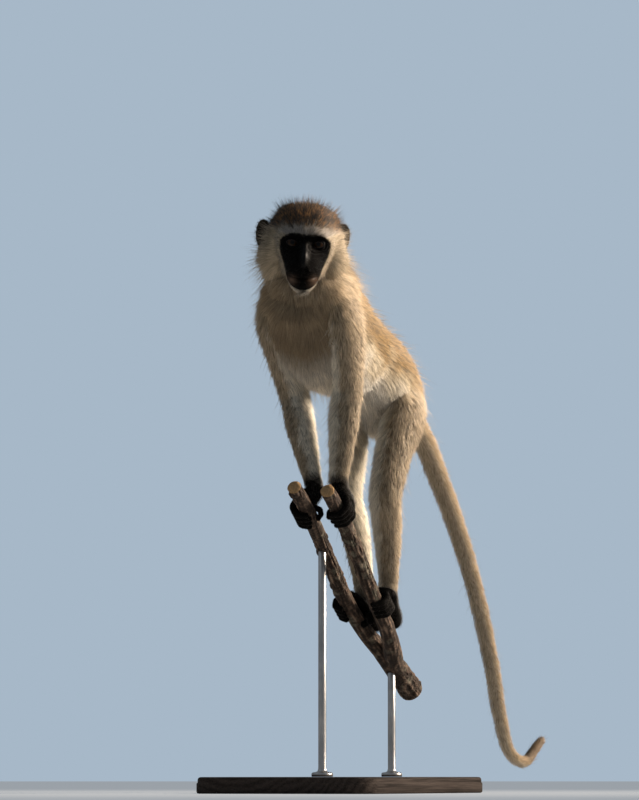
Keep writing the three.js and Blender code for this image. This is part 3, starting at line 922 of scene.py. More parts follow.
def paint_skin(mesh, colours):
    """The skin's colour at each point: black where it is bare, and under the coat the coat's colour darkened
    as painted shade for the gaps between the tufts.
    """
    points, normals = points_of(mesh), normals_of(mesh)
    guide = Guide(points, normals, colours)
    local = in_head(points)
    left, back, up = local.T
    lip = spot((np.abs(left) - 12) / 5, (up + 40) / 5.5) * (back < -26)
    bare = mixed(np.tile(colours.black_skin, (len(points), 1)), colours.lip, 0.6 * lip)
    bare = mixed(bare, colours.paw, 0.8 * ear_share(local))
    # Painted shade: under the coat the skin takes the coat's colour darkened to 0.6, as shade between the
    # tufts.
    pigment = bare + (guide.base * 0.6 - bare) * (1 - guide.bare)[:, None]
    set_numbers(mesh, "pigment", np.column_stack([pigment, np.ones(len(points))]), "FLOAT_COLOR")
    set_numbers(mesh, "bare", guide.bare)
    bridge = bump(left, 0, 3.2) * smoothstep(4, -4, up) * smoothstep(-27, -21, up)
    set_numbers(mesh, "worn", np.maximum(bridge, 0.5 * lip) * (back < -30))


def make_skin(settings, colours):
    """The one skin of the whole body: its parts remeshed into one, melted together, thinned out under the
    coat, and given the finished face."""
    piece = piece_of("vervet_skin", *joined(body_shapes()))
    with_modifier(piece, "REMESH", mode="VOXEL", voxel_size=settings.grain)
    coated = melt_joints(piece.data, settings.melting)
    thin_out(piece, coated, settings.kept)
    refine_face(piece.data)
    shape_face(piece.data)
    paint_skin(piece.data, colours)
    return piece


# ---------------- coat guide


def mixed(a, b, share):
    """Colours a and b mixed by each point's share of b."""
    share = np.atleast_1d(share)[:, None]
    return np.asarray(a) * (1 - share) + np.asarray(b) * share


# Each look below gives the base colour, the gold near the tips, the share of black tips and the length of
# the hair, from the share s along the part, the angle round it, the points, their normals and the colours c.


def trunk_coat(s, angle, points, normals, c):
    """Olive gold above, pale underneath, with painted shade that darkens the lower chest and fades into the
    belly.
    """
    top = -np.sin(angle) + 0.16 * ripple(points, 34, 3)
    base = mixed(c.belly, c.flank, smoothstep(-0.75, -0.3, top))
    base = mixed(base, c.back, 0.35 * smoothstep(-0.8, -0.3, top) + 0.65 * smoothstep(-0.45, 0.25, top))
    chest = (1 - smoothstep(0.1, 0.3, s)) * (1 - smoothstep(0.2, 0.75, top))
    height = points[:, 2]
    # Painted shade: the chest's colour darkens to 0.72 of itself towards the lower chest.
    shaded_chest = mixed(c.chest, c.chest * 0.72, smoothstep(545, 490, height))
    pale = smoothstep(478, 446, height - 0.8 * np.clip(points[:, 0], -22, 22))
    base = mixed(base, shaded_chest, chest * (1 - 0.85 * pale))
    gold = mixed(base * 1.15, c.gold, 0.75 * smoothstep(-0.4, 0.2, top))
    dark = 0.04 + 0.4 * smoothstep(-0.55, 0.3, top) * smoothstep(0.05, 0.3, s)
    length = 19 + 3 * smoothstep(0.2, -0.5, top) - 2 * smoothstep(0.7, 1, s)
    return base, gold, dark, length


def neck_coat(s, angle, points, normals, c):
    """Grizzled on the nape, warm and a little shorter at the throat."""
    nape = smoothstep(-0.1, 0.8, np.sin(angle) + 0.12 * ripple(points, 26, 5))
    throat = smoothstep(0.1, 0.8, -np.sin(angle))
    base = mixed(mixed(c.shoulder, c.chest, throat), c.back, nape)
    gold = mixed(base * 1.15, c.gold, 0.7 * nape)
    return base, gold, 0.05 + 0.33 * nape, 21 - 4 * throat


def limb_coat(side, lengths, inner_from):
    """The coat of an arm or a leg: grizzled outside, cream inside, and short at the far end."""

    def coat(s, angle, points, normals, c):
        inward = -side * normals[:, 0] + 0.16 * ripple(points, 22, 7)
        inner = smoothstep(-0.1, 0.45, inward) * smoothstep(inner_from, inner_from + 0.12, s)
        base = mixed(mixed(c.shoulder, c.limb, smoothstep(0.0, 0.3, s)), c.cream, inner)
        gold = mixed(base * 1.25, c.gold, 0.2 * (1 - inner))
        dark = 0.24 * (1 - inner) * smoothstep(0.0, 0.25, s)
        hand = smoothstep(0.93, 1.0, s)
        base, gold = mixed(base, c.paw, hand), mixed(gold, c.paw, 0.8 * hand)
        stops = np.linspace(0, 1, len(lengths))
        return base, gold, dark, np.interp(s, stops, lengths)

    return coat


def tail_coat(s, angle, points, normals, c):
    """Grey-brown, paler underneath, with a darker tip."""
    under = smoothstep(0.1, 0.8, np.sin(angle))
    base = mixed(mixed(c.tail, c.cream, 0.45 * under), c.tail_tip, smoothstep(0.86, 0.95, s))
    root = smoothstep(0.08, 0.0, s)
    base = mixed(base, c.back, 0.6 * root * (1 - under))
    length = 9 + 6 * root - 1.0 * smoothstep(0.2, 0.8, s)
    return base, mixed(base * 1.2, c.gold, 0.25), 0.22 * (1 - under), length


def head_zones(local):
    """Over the head, in its own frame: how much each point belongs to the crown, to the pale brow band and
    to the nape."""
    left, back, up = local.T
    side = np.abs(left)
    wave = 0.9 * ripple(local, 6, 11)
    line = 13.6 - 4.5 * smoothstep(14, 32, side) - 6 * smoothstep(-5, 12, back) + wave
    soft = 1.5 + 3.5 * smoothstep(16, 32, side)
    crown = smoothstep(-soft, soft, up - line)
    nape = smoothstep(8, 26, back + 0.3 * up + wave)
    brow = smoothstep(6, 9, up) * (1 - crown) * (back < -8) * smoothstep(36, 26, side)
    return crown, brow, nape


def head_look(s, angle, points, normals, c):
    """A dark crown, a pale brow band, whiskered cheeks, a cream chin, and dark hair before the ears and
    along the edge of the bare face."""
    local = in_head(points)
    left, back, up = local.T
    crown, brow, nape = head_zones(local)
    outside = outside_mask(local)
    chin = smoothstep(-36, -50, up) * smoothstep(26, 14, np.abs(left)) * (back < -8)
    base = mixed(mixed(c.cheek, c.brow, brow), c.cream, 0.75 * chin)
    ear = np.exp(-(((np.abs(left) - 38) / 9) ** 2 + ((back + 4) / 13) ** 2 + ((up + 1) / 19) ** 2))
    base = mixed(base, c.limb * 0.5, 0.8 * ear)
    base = mixed(base, c.back, nape * (1 - crown))
    base = mixed(base, c.crown, crown)
    gold = mixed(mixed(base * 1.15, c.gold, 0.7 * nape), c.crown_gold, crown)
    edge = smoothstep(4.5, 0.0, outside + 0.8 * ripple(local, 3, 18)) * (1 - 0.6 * brow) * (1 - 0.9 * chin)
    base = mixed(base, c.paw, 0.35 * edge)
    front = crown * smoothstep(10, 2, up - 13.6)
    dark = 0.05 + (0.56 + 0.2 * ripple(local, 7, 19) + 0.2 * front) * crown
    dark = dark + 0.3 * nape * (1 - crown) + 0.25 * ear + 0.12 * brow + 0.5 * edge
    jowl = smoothstep(-8, -26, up) * smoothstep(14, 26, np.abs(left))
    full = 18 - 8.5 * crown - 9.5 * brow * (1 - crown) + 2 * nape + 5 * jowl
    length = 7.5 + (full - 7.5) * smoothstep(0, 9, outside) * (1 - 0.3 * chin) + 3 * chin
    length *= 1 - 0.62 * ear
    return base, gold, dark, length


ARM_LENGTHS, LEG_LENGTHS = [17, 16, 14, 13, 12, 9, 5], [18, 17, 16, 14, 11, 9, 5]
COAT_LOOKS = {
    "trunk": trunk_coat,
    "neck": neck_coat,
    "tail": tail_coat,
    "arm_right": limb_coat(-1, ARM_LENGTHS, 0.12),
    "arm_left": limb_coat(1, ARM_LENGTHS, 0.12),
    "leg_right": limb_coat(-1, LEG_LENGTHS, 0.1),
    "leg_left": limb_coat(1, LEG_LENGTHS, 0.1),
    "head": head_look,
}
DOWNWARD = {"trunk": 0.55, "neck": 0.5, "tail": 0.0, "head": 0.0}  # how far the lie of the hair turns down
WILD = {"head": 0.09, "neck": 0.045, "trunk": 0.03, "tail": 0.035}  # the share of long loose hairs


class Guide:
    """What the coat does at each point of the skin: the parts it belongs to, blended where they meet, the
    lie of the hair along the skin, its length and depth, and its colours."""

    def __init__(self, points, normals, colours):
        distance, share, angle, flow, depth = places(points)
        weight = np.exp(-(distance - distance.min(0)) / 4)
        weight /= weight.sum(0)
        self.part = distance.argmin(0)
        rows = np.arange(len(points))
        self.share, self.angle = share[self.part, rows], angle[self.part, rows]
        lie, self.depth, self.length, self.dark = np.zeros((len(points), 3)), 0, 0, 0
        self.base, self.gold, self.wild = np.zeros((len(points), 3)), np.zeros((len(points), 3)), 0
        for k, name in enumerate(PARTS):
            w = weight[k]
            base, gold, dark, length = COAT_LOOKS[name](share[k], angle[k], points, normals, colours)
            self.base += w[:, None] * base
            self.gold += w[:, None] * gold
            self.dark = self.dark + w * dark
            self.length = self.length + w * length
            self.depth = self.depth + w * depth[k]
            self.wild = self.wild + w * WILD.get(name, 0.02)
            heading = -flow[k] if name == "neck" else flow[k]
            lie += w[:, None] * (heading + np.array([0, 0, -DOWNWARD.get(name, 0.05)]))
        lie += 0.16 * np.stack([ripple(points, 30, 21 + k) for k in range(3)], 1)
        self.lie, self.normals = unit(along_skin(lie, normals)), normals
        self.bare = bare_share(points)
        self.on_head = self.part == PARTS.index("head")
        crown, brow = (zone * self.on_head for zone in head_zones(in_head(points))[:2])
        self.crown, self.standing = crown, np.maximum(0.85 * crown, 0.45 * brow)
        self.wild = self.wild + 0.03 * crown


# ---------------- tufts


def scattered(mesh, chosen, weight, count, rng):
    """About count places on the chosen triangles of a mesh, spread by area and weight: each triangle gets
    its share of an evenly stepped running total, and a random place for each. Gives points and normals."""
    corners = corners_of(mesh)[chosen]
    points, normals = points_of(mesh), normals_of(mesh)
    a, b, c = (points[corners[:, k]] for k in range(3))
    area = np.linalg.norm(np.cross(b - a, c - a), axis=1) / 2 * weight
    reached = np.concatenate([[0], np.cumsum(area)])
    steps = (np.arange(count) + rng.uniform(0, 1, count)) / count * reached[-1]
    index = np.minimum(np.searchsorted(reached, steps, side="right") - 1, len(area) - 1)
    u, v = rng.uniform(0, 1, (2, count))
    folded = u + v > 1
    u, v = np.where(folded, 1 - u, u)[:, None], np.where(folded, 1 - v, v)[:, None]
    normal = [normals[corners[index, k]] for k in range(3)]
    place = a[index] * (1 - u - v) + b[index] * u + c[index] * v
    return place, unit(normal[0] * (1 - u - v) + normal[1] * u + normal[2] * v)


LOCK_TABLE = np.random.default_rng(17).uniform(-1, 1, (4096, 4))
LOCK_PRIMES = (73856093, 19349663, 83492791)  # large primes that scatter the cells over the table


def locks(points, size):
    """The lock of hair that each root belongs to, as a cell of a wavering grid: its random lean and length,
    and the way from the root to its middle."""
    waver = points + size * 0.45 * np.stack([ripple(points, size * 2.6, 41 + k) for k in range(3)], 1)
    cell = np.floor(waver / size).astype(np.int64)
    x, y, z = (cell * LOCK_PRIMES).T
    drawn = LOCK_TABLE[(x ^ y ^ z) & (len(LOCK_TABLE) - 1)]
    return drawn[:, :3], drawn[:, 3], (cell + 0.5) * size - waver


# A tuft's five points: its root, three round its girth, and its tip. Then its six triangles.
TUFT_GIRTH = 0.38  # how far along its length a tuft is thickest
TUFT_CORNERS = np.array([(2, 1, 0), (1, 2, 4), (3, 2, 0), (2, 3, 4), (1, 3, 0), (3, 1, 4)])
TUFT_PLACES = np.array([(0.17, 0), (0, 0.5), (1 / 3, 0.5), (2 / 3, 0.5), (0.17, 1)])  # in its patch


def tuft_shapes(roots, normals, lie, rise, fall, length, width, pull=0.0):
    """Closed spindles of three sides, one for each root. The middle line is
    root + length (first (s - s^2/2) + second s^2/2) + pull s^2, where first and second are the lie turned up
    by the rise and the fall, so each bends over as it grows. Gives the points by tuft."""
    first = lie * np.cos(rise)[:, None] + normals * np.sin(rise)[:, None]
    second = lie * np.cos(fall)[:, None] + normals * np.sin(fall)[:, None]
    across = unit(np.cross(lie, normals))
    over = unit(np.cross(unit(first + second), across))

    def middle(s):
        return roots + length[:, None] * (first * (s - s * s / 2) + second * s * s / 2) + pull * s * s

    columns = [roots - normals * 0.5 - first * 0.4]
    for turn in np.radians([-90, 30, 150]):
        out = across * math.cos(turn) + over * (0.6 * math.sin(turn))
        columns.append(middle(TUFT_GIRTH) + out * width[:, None])
    columns.append(middle(1.0))
    return np.stack(columns, 1)


MAP_FIELDS = {  # each part's own field of the unwrapped square: left, bottom, width, height
    "trunk": (0.02, 0.02, 0.46, 0.46),
    "neck": (0.52, 0.02, 0.22, 0.22),
    "tail": (0.76, 0.02, 0.2, 0.46),
    "arm_right": (0.5, 0.5, 0.11, 0.46),
    "arm_left": (0.62, 0.5, 0.11, 0.46),
    "leg_right": (0.74, 0.5, 0.11, 0.46),
    "leg_left": (0.86, 0.5, 0.11, 0.46),
    "head": (0.02, 0.52, 0.46, 0.46),
}
PATCH = 0.003  # the size of one tuft's patch of the square


def unwrap(guide):
    """Each root's place on the skin laid flat: parts that are paths unroll by angle and length, and the head
    opens out from the face as a disc."""
    field = np.array([MAP_FIELDS[name] for name in PARTS])[guide.part]
    rolled = np.stack([guide.angle / (2 * math.pi) + 0.5, np.clip(guide.share, 0, 1)], 1)
    disc = 0.5 + 0.5 * guide.share[:, None] * np.stack([np.cos(guide.angle), np.sin(guide.angle)], 1)
    return field[:, :2] + field[:, 2:] * np.where(guide.on_head[:, None], disc, rolled)


def grow(name, skin, chosen, weight, count, colours, coat, seed):
    """One piece of the coat: count tufts on the chosen triangles, a few of them long loose hairs."""
    rng = np.random.default_rng(seed)
    roots, normals = scattered(skin, chosen, weight, count, rng)
    guide = Guide(roots, normals, colours)
    loose = rng.uniform(0, 1, count) < guide.wild
    lean, size, inward = locks(roots, coat.lock)
    spread = rng.normal(0, 1, (count, 3))
    lie = guide.lie + coat.ruffle * (0.55 * lean + 0.5 * spread * (0.6 + loose[:, None]))
    lie = unit(along_skin(lie, normals))
    short = np.clip(guide.length / 12, 0.25, 1) * np.where(guide.on_head, 0.8, 1)
    length = guide.length * (1 + 0.12 * size + rng.uniform(-0.22, 0.14, count))
    length *= np.where(loose, rng.uniform(1.3, 2.1, count), 1)
    lift = np.clip(guide.depth * rng.uniform(0.8, 1.12, count) / np.maximum(guide.length, 1), 0.12, 0.85)
    mean = np.arcsin(lift) * np.where(loose, 1.3, 1) + guide.standing * rng.uniform(0.1, 0.5, count)
    rise = np.minimum(1.35 * mean + 0.1, 1.4)
    fall = np.minimum(0.62 * mean + 0.5 * guide.standing, 1.2)
    width = coat.width * short * rng.uniform(0.7, 1.3, count) * np.where(loose, 0.5, 1)
    pull = along_skin(inward, normals) * 0.5 * short[:, None]
    points = tuft_shapes(roots, normals, lie, rise, fall, length, width, pull)
    patchy = (0.12 + 0.36 * guide.crown)[:, None] * lean[:, :1]
    fleck = ripple(roots, 3.4, 33)
    mottle = 0.34 * guide.crown * ripple(roots, 12, 35)
    tone = 1 + patchy + (0.09 * fleck + mottle)[:, None] + 0.14 * rng.normal(0, 1, (count, 1)).clip(-2, 2)
    base = guide.base * tone
    dark = rng.uniform(0, 1, count) < guide.dark * np.where(loose, 1.6, 1) * (1 - 0.8 * fleck)
    tip = np.where(dark[:, None], np.array(colours.black), guide.gold * tone * 1.05)
    tip = np.where((loose & ~dark)[:, None], tip * 0.75, tip)
    middle = np.where(dark[:, None], base * 0.75, base)
    return make_tufts(name, points, base * 0.7, middle, tip, guide)


def make_tufts(name, points, root, middle, tip, guide):
    """The piece made of every tuft, with its tint from root to tip at each point, and each tuft laid out as
    a small patch at its root's place on the unwrapped skin."""
    count, each = points.shape[:2]
    faces = (TUFT_CORNERS[None] + (np.arange(count) * each)[:, None, None]).reshape(-1, 3)
    mesh = new_mesh(name, points.reshape(-1, 3), faces)
    tint = np.concatenate([np.stack([root, middle, middle, middle, tip], 1), np.ones((count, each, 1))], 2)
    set_numbers(mesh, "tint", tint, "FLOAT_COLOR")
    place = unwrap(guide)[:, None, None] + PATCH * (TUFT_PLACES[TUFT_CORNERS][None] - 0.5)
    layer = mesh.uv_layers.new(name="OFBake")
    layer.data.foreach_set("uv", place.astype(np.float32).ravel())
    soft = unit(mixed(normals_of(mesh), np.repeat(guide.normals, each, axis=0), 0.62))
    mesh.normals_split_custom_set_from_vertices(soft)
    return new_piece(name, mesh)


def make_coat(skin, colours, coat):
    """The coat's twelve pieces by name, each grown on its own zone of the skin, with its count of tufts."""
    mesh = skin.data
    corners = corners_of(mesh)
    middle = points_of(mesh)[corners].mean(1)
    guide = Guide(middle, unit(normals_of(mesh)[corners].mean(1)), colours)
    part = {name: guide.part == k for k, name in enumerate(PARTS)}
    crown, _, nape = head_zones(in_head(middle))
    high = (crown > 0.4) | (nape > 0.5)
    over = -np.sin(guide.angle) > 0
    fore = guide.share < 0.34
    tip = guide.share >= 0.88
    zones = {
        "coat_crown": (part["head"] & high, 24000),
        "coat_cheeks": (part["head"] & ~high, 32000),
        "coat_neck": (part["neck"], 24500),
        "coat_chest": (part["trunk"] & fore, 26000),
        "coat_back": (part["trunk"] & ~fore & over, 24000),
        "coat_belly": (part["trunk"] & ~fore & ~over, 18000),
        "coat_arm_right": (part["arm_right"], 15500),
        "coat_arm_left": (part["arm_left"], 15500),
        "coat_leg_right": (part["leg_right"], 17500),
        "coat_leg_left": (part["leg_left"], 17500),
        "coat_tail": (part["tail"] & ~tip, 17000),
        "coat_tail_tip": (part["tail"] & tip, 2600),
    }
    made = {}
    for seed, (name, (zone, count)) in enumerate(zones.items(), 100):
        chosen = np.nonzero(zone & (guide.bare < 0.5))[0]
        thin = 1 / np.clip(guide.length[chosen] / 13, 0.35, 1.3)
        made[name] = grow(name, mesh, chosen, thin, int(count * coat.density), colours, coat, seed)
    return made


# ---------------- eyes and lids

GAZE_RISE, GAZE_SPREAD = math.radians(6), math.radians(1.5)
CORNEA = 0.5  # how far the clear front of the eye stands out of the ball
LIMBUS = 43.0  # degrees from the optical axis to the iris's edge


def make_eyeball(name):
    """An eyeball as rings of equal angle a from its optical axis. Its radius is
    R + bulge (1 - smoothstep) out to the edge of the iris, which gives the cornea."""
    side = SIDE[name]
    angle = np.radians(np.concatenate([np.linspace(1.5, 50, 34), np.linspace(54, 176, 26)]))[:, None]
    turn = full_turn(64)[None]
    radius = EYE_RADIUS + CORNEA * (1 - smoothstep(20, LIMBUS + 4, np.degrees(angle)))
    out = np.sin(angle)
    ring = np.stack([out * np.cos(turn), -np.cos(angle) + 0 * turn, -out * np.sin(turn)], -1)
    front, back = np.array([[0, -EYE_RADIUS - CORNEA, 0]]), np.array([[0, EYE_RADIUS, 0.0]])
    points, faces = closed_grid(ring * radius[..., None], front, back)
    aim = about(0, -GAZE_RISE) @ about(2, -side * GAZE_SPREAD)
    aimed = from_head(points @ aim.T + EYE_PLACE * (side, 1, 1))
    piece = piece_of(f"eyeball_{name}", aimed, faces)
    flat = unit(points)
    off_axis = np.degrees(np.arccos(np.clip(-flat[:, 1], -1, 1))) / LIMBUS
    spokes = np.column_stack([unit(flat[:, [0, 2]] + 1e-9), off_axis])
    set_numbers(piece.data, "off_axis", off_axis)
    set_numbers(piece.data, "spokes", spokes, "FLOAT_VECTOR")
    return piece


def lid_edge(side, turn, out):
    """Points on the edge of the opening between the lids, in the head's frame: the almond
    up = centre + tilt + height (1 - across^2)^LID_ROUND, lifted onto a sphere round the eyeball."""
    across = np.cos(turn)
    height = np.where(np.sin(turn) > 0, LID_TOP, -LID_BOTTOM) * np.maximum(1 - across**2, 0) ** LID_ROUND
    x = across * LID_WIDTH
    z = height + LID_TILT * across
    reach = (EYE_RADIUS + out) ** 2 - x**2 - z**2
    y = -np.sqrt(np.maximum(reach, 0.5))
    return np.column_stack([side * (EYE_PLACE[0] + x), EYE_PLACE[1] + y, EYE_PLACE[2] + z])


def make_lid_rims():
    """The wet rims of the lids: a fine tube swept round each opening, closed on itself."""
    steps, sides, thick = 144, 12, 0.36
    turn = full_turn(steps)
    round_tube = full_turn(sides)[None, :, None]
    shapes = []
    for side in SIDE.values():
        middle = lid_edge(side, turn, 0.5)
        eye = EYE_PLACE * (side, 1, 1)
        out = unit(middle - eye)
        along = unit(np.roll(middle, -1, 0) - np.roll(middle, 1, 0))
        away = unit(np.cross(along, out)) * side
        tube = np.cos(round_tube) * out[:, None] + np.sin(round_tube) * away[:, None]
        ring = middle[:, None] + thick * tube
        k, j = np.meshgrid(np.arange(steps), np.arange(sides), indexing="ij")
        a, b = k * sides + j, k * sides + (j + 1) % sides
        c, d = (a + sides) % (steps * sides), (b + sides) % (steps * sides)
        faces = np.stack([a, b, d, c], -1).reshape(-1, 4)
        shapes.append((from_head(ring.reshape(-1, 3)), faces))
    piece = piece_of("lid_rims", *joined(shapes))
    turn_outward(piece.data)
    return piece


def turn_outward(mesh):
    """Turns every face of a closed mesh outwards."""
    net = bmesh.new()
    net.from_mesh(mesh)
    bmesh.ops.recalc_face_normals(net, faces=net.faces[:])
    net.to_mesh(mesh)
    net.free()


# ---------------- short hair


def make_short_hair(skin, colours, coat):
    """The short hair of the bare places: black down on the hands, the feet and the ears, and a sparse
    dusting over the face, longer at its rim, with bristles at the brow, the lips and the chin."""
    mesh = skin.data
    rng = np.random.default_rng(61)
    middle = points_of(mesh)[corners_of(mesh)].mean(1)
    local = in_head(middle)
    left, _, up = local.T
    sparse = 0.35 * smoothstep(0, 9, -mask_distance(left, up)) + 0.25
    opening = smoothstep(1.2, 1.8, lid_level(left, up))
    on_face = face_share(local, 0.2) * (1 - 0.8 * sparse) * opening * (np.abs(up + 37) > 2.2)
    weight = paw_share(middle) + ear_share(local) * 1.5 + on_face
    chosen = np.nonzero(weight > 0.05)[0]
    roots, facing = scattered(mesh, chosen, weight[chosen], int(16000 * coat.density), rng)
    guide = Guide(roots, facing, colours)
    local = in_head(roots)
    left, _, up = local.T
    face, ear, paw = face_share(local, 0.2), ear_share(local), paw_share(roots)
    count = len(roots)
    rim = smoothstep(-3.5, 0, mask_distance(left, up)) * face
    digits = digit_share(roots)
    bristle = (rng.uniform(0, 1, count) < 0.05) * face * (np.abs(left) < 16) * ((up < -24) | (up > 4))
    length = 2.0 * face + 2.8 * rim + 3.6 * ear + (5.2 - 3.4 * digits) * paw + 5 * bristle
    length = np.maximum(length * rng.uniform(0.7, 1.25, count), 0.8)
    down = np.stack([0.5 * np.sign(left), 0.3 + 0 * left, -1 + 0 * left], 1)
    outward = unit(np.stack([left, 0 * left, up + 16], 1)) * 1.2
    combed = unit(mixed(down, outward, smoothstep(-12, -3, mask_distance(left, up)))) @ HEAD_AXES.T
    lie = mixed(guide.lie, combed, face) + 0.25 * rng.normal(0, 1, (count, 3))
    lie = unit(along_skin(lie, facing))
    steep = 0.35 + 0.25 * ear + 0.5 * bristle + 0.12 * rng.normal(0, 1, count).clip(-1.5, 1.5)
    width = (0.11 + 0.05 * paw * (1 - digits)) * rng.uniform(0.7, 1.3, count)
    shapes = tuft_shapes(roots, facing, lie, steep + 0.15, steep * 0.5, length, width)
    pale = (rng.uniform(0, 1, count) < 0.15 + 0.55 * rim + 0.25 * ear) & (bristle < 0.5)
    tint = mixed(np.tile(colours.paw, (count, 1)), colours.black_skin, 0.85 * face * (1 - rim))
    tint = mixed(tint, colours.limb, 0.3 * ear)
    tint = mixed(tint, colours.brow, np.where(pale, 0.7, 0.0) * np.maximum(rim, 0.25 * ear))
    return make_tufts("coat_short", shapes, tint * 0.6, tint, tint * 1.25, guide)


# ---------------- branch and stand


def make_branch(settings):
    """The forked branch: two tapering bodies remeshed into one, then pushed along the normals by bark: long
    ridges that follow the wood, cross cracks, knobs and a fine grain."""
    sides = [Path(BRANCH[name], domes=(3, 3)) for name in SIDE]
    for path in sides:
        path.sizes -= 0.5
    piece = piece_of("branch_bark", *joined([loft(path, 140, 40) for path in sides]))
    mesh = with_modifier(piece, "REMESH", mode="VOXEL", voxel_size=settings.bark_grain)
    points, edges = points_of(mesh), edges_of(mesh)
    relaxed(points, edges, np.full(len(points), 0.5), 14, swell=1.03)
    put_points(mesh, points)
    normals = normals_of(mesh)
    rows = [tube_place(path, points) for path in sides]
    second = rows[1][0] < rows[0][0]
    pairs = zip(rows[0][1:4], rows[1][1:4])
    share, angle, along = (np.where(second if a.ndim == 1 else second[:, None], b, a) for a, b in pairs)
    length = np.where(second, sides[1].length, sides[0].length)
    unrolled = np.column_stack([np.cos(angle) * 10, np.sin(angle) * 10, share * length * 0.22])
    ridges = ripple(unrolled, 5.2, 71, 16)
    furrow = -smoothstep(0.25, 1.0, np.abs(ripple(unrolled + 40, 8.5, 72, 14)))
    cross = -smoothstep(0.72, 1.0, np.abs(ripple(points, 9, 73, 12))) * 0.5
    knobs = smoothstep(1.05, 1.9, ripple(points, 26, 74)) * 1.2
    fine = ripple(points, 2.6, 75, 14)
    cut = np.minimum(share, 1 - share) * length
    rough = 0.5 * ridges + 0.6 * furrow + cross + 0.12 * fine
    held = grip_share(points)
    lift = smoothstep(-0.4, 0.6, cut) * (rough * (1 - 0.75 * held) + knobs * (1 - held))
    put_points(mesh, points + normals * np.clip(lift, -1.6, 1.3)[:, None])
    # furrow is high where the bark sinks; the bark's finish darkens it there, partly as painted shade.
    set_numbers(mesh, "furrow", np.clip(0.5 - 0.5 * rough, 0, 1))
    set_numbers(mesh, "cut", 1 - smoothstep(0.0, 0.8, cut + 0.6))
    inside = np.clip(share, 0, 1)
    offset = points - np.where(second[:, None], sides[1].at(inside)[0], sides[0].at(inside)[0])
    reach = np.linalg.norm(along_skin(offset, along), axis=1)
    wood = np.column_stack([np.cos(angle) * reach, np.sin(angle) * reach, share * length])
    set_numbers(mesh, "wood", wood, "FLOAT_VECTOR")
    return piece


def rounded_outline(half_x, half_y, corner, step=9):
    """A rounded rectangle as points: four quarter circles of the corner radius, joined by straight sides."""
    turn = np.linspace(0, math.pi / 2, step)
    rows = []
    for quarter, (x, y) in enumerate([(1, 1), (-1, 1), (-1, -1), (1, -1)]):
        a = turn + quarter * math.pi / 2
        middle = np.array([x * (half_x - corner), y * (half_y - corner)])
        rows.append(middle + corner * np.stack([np.cos(a), np.sin(a)], 1))
    return np.vstack(rows)


def make_base():
    """The plinth: a rounded rectangle carried up its edge profile, with a bead, a groove and a soft top
    edge, and closed over the top and underneath by the same outline drawn in."""
    low, high = (np.array(corner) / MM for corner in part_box("stand_base"))
    half, top = (high - low)[:2] / 2, high[2] - low[2]
    profile = [(2.4, 0.0), (1.0, 0.4), (0.2, 1.3), (0.0, 2.4), (0.0, top - 7.4), (0.25, top - 6.8)]
    profile += [(1.1, top - 6.2), (1.2, top - 5.6), (1.15, top - 3.4), (1.35, top - 2.3), (1.9, top - 1.2)]
    profile += [(2.8, top - 0.45), (4.2, top - 0.08), (6.0, top)]
    inward = [(d, top) for d in (14, 24, 40, 60, 80, 96)]
    under = [(d, 0.0) for d in (96, 80, 60, 40, 24, 12, 5)]
    rings = []
    for inset, height in under + profile + inward:
        outline = rounded_outline(half[0] - inset, half[1] - inset, max(24.0 - inset, 4.0))
        rings.append(np.column_stack([outline, np.full(len(outline), height)]))
    points, faces = closed_grid(np.array(rings), np.array([[0, 0, 0.0]]), np.array([[0, 0, top]]))
    points += np.array([(low[0] + high[0]) / 2, (low[1] + high[1]) / 2, low[2]])
    return piece_of("base_plate", points, faces)


def make_rod(end):
    """A brushed rod with its collar, as a profile turned about the rod's axis."""
    low, high = (np.array(corner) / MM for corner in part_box(f"stand_rod_{end}"))
    axis = (low + high)[:2] / 2
    foot, top, collar, thin = low[2], high[2] + 5, 11.9, 4.4
    profile = [(collar - 0.6, foot), (collar, foot + 0.5), (collar, foot + 3.2), (collar - 0.5, foot + 4.2)]
    profile += [(collar - 1.6, foot + 4.8), (7.6, foot + 5.1), (6.4, foot + 5.5), (5.4, foot + 6.1)]
    profile += [(4.8, foot + 7.4), (thin, foot + 9), (thin, foot + 60), (thin, top - 1), (thin - 0.8, top)]
    turn = full_turn(48)
    x, y = np.cos(turn), np.sin(turn)
    rings = [np.column_stack([axis[0] + r * x, axis[1] + r * y, z + 0 * turn]) for r, z in profile]
    shape = closed_grid(np.array(rings), np.array([[*axis, foot]]), np.array([[*axis, top]]))
    return piece_of(f"display_rod_{end}", *shape)
# ---------------- node groups


def add(tree, kind, **values):
    """A new node: a keyword that names one of its inputs sets that input, and any other sets the node."""
    node = tree.nodes.new("ShaderNode" + kind)
    for key, value in values.items():
        socket = node.inputs.get(key.replace("_", " ").title())
        if socket is None:
            setattr(node, key, value)
        else:
            socket.default_value = value
    return node


def ramp(tree, stops):
    """A colour ramp through (position, colour) stops, where a bare number is a grey."""
    node = add(tree, "ValToRGB")
    elements = node.color_ramp.elements
    for index, (position, colour) in enumerate(stops):
        stop = elements[index] if index < 2 else elements.new(position)
        stop.position = position
        stop.color = (*(colour if hasattr(colour, "__len__") else [colour] * 3), 1)
    return node


def mix(tree, kind="MIX", factor=0.5, second=None):
    """A colour mix, whose sockets go by number: 0 is the factor, 6 and 7 the colours, output 2."""
    node = add(tree, "Mix", data_type="RGBA", blend_type=kind)
    node.inputs[0].default_value = factor
    if second is not None:
        node.inputs[7].default_value = (*second, 1)
    return node


def maths(tree, operation, second=0.5):
    """An operation on numbers, whose inputs go by place: 0, 1 and 2."""
    node = add(tree, "Math", operation=operation)
    node.inputs[1].default_value = second
    return node


def noise(tree, scale, detail):
    return add(tree, "TexNoise", scale=scale, detail=detail)


def numbers(tree, name):
    """The numbers, vectors or colours that set_numbers kept on the mesh under that name."""
    return add(tree, "Attribute", attribute_name=name)


def bump_map(tree, depth, strength):
    return add(tree, "Bump", distance=depth, strength=strength)


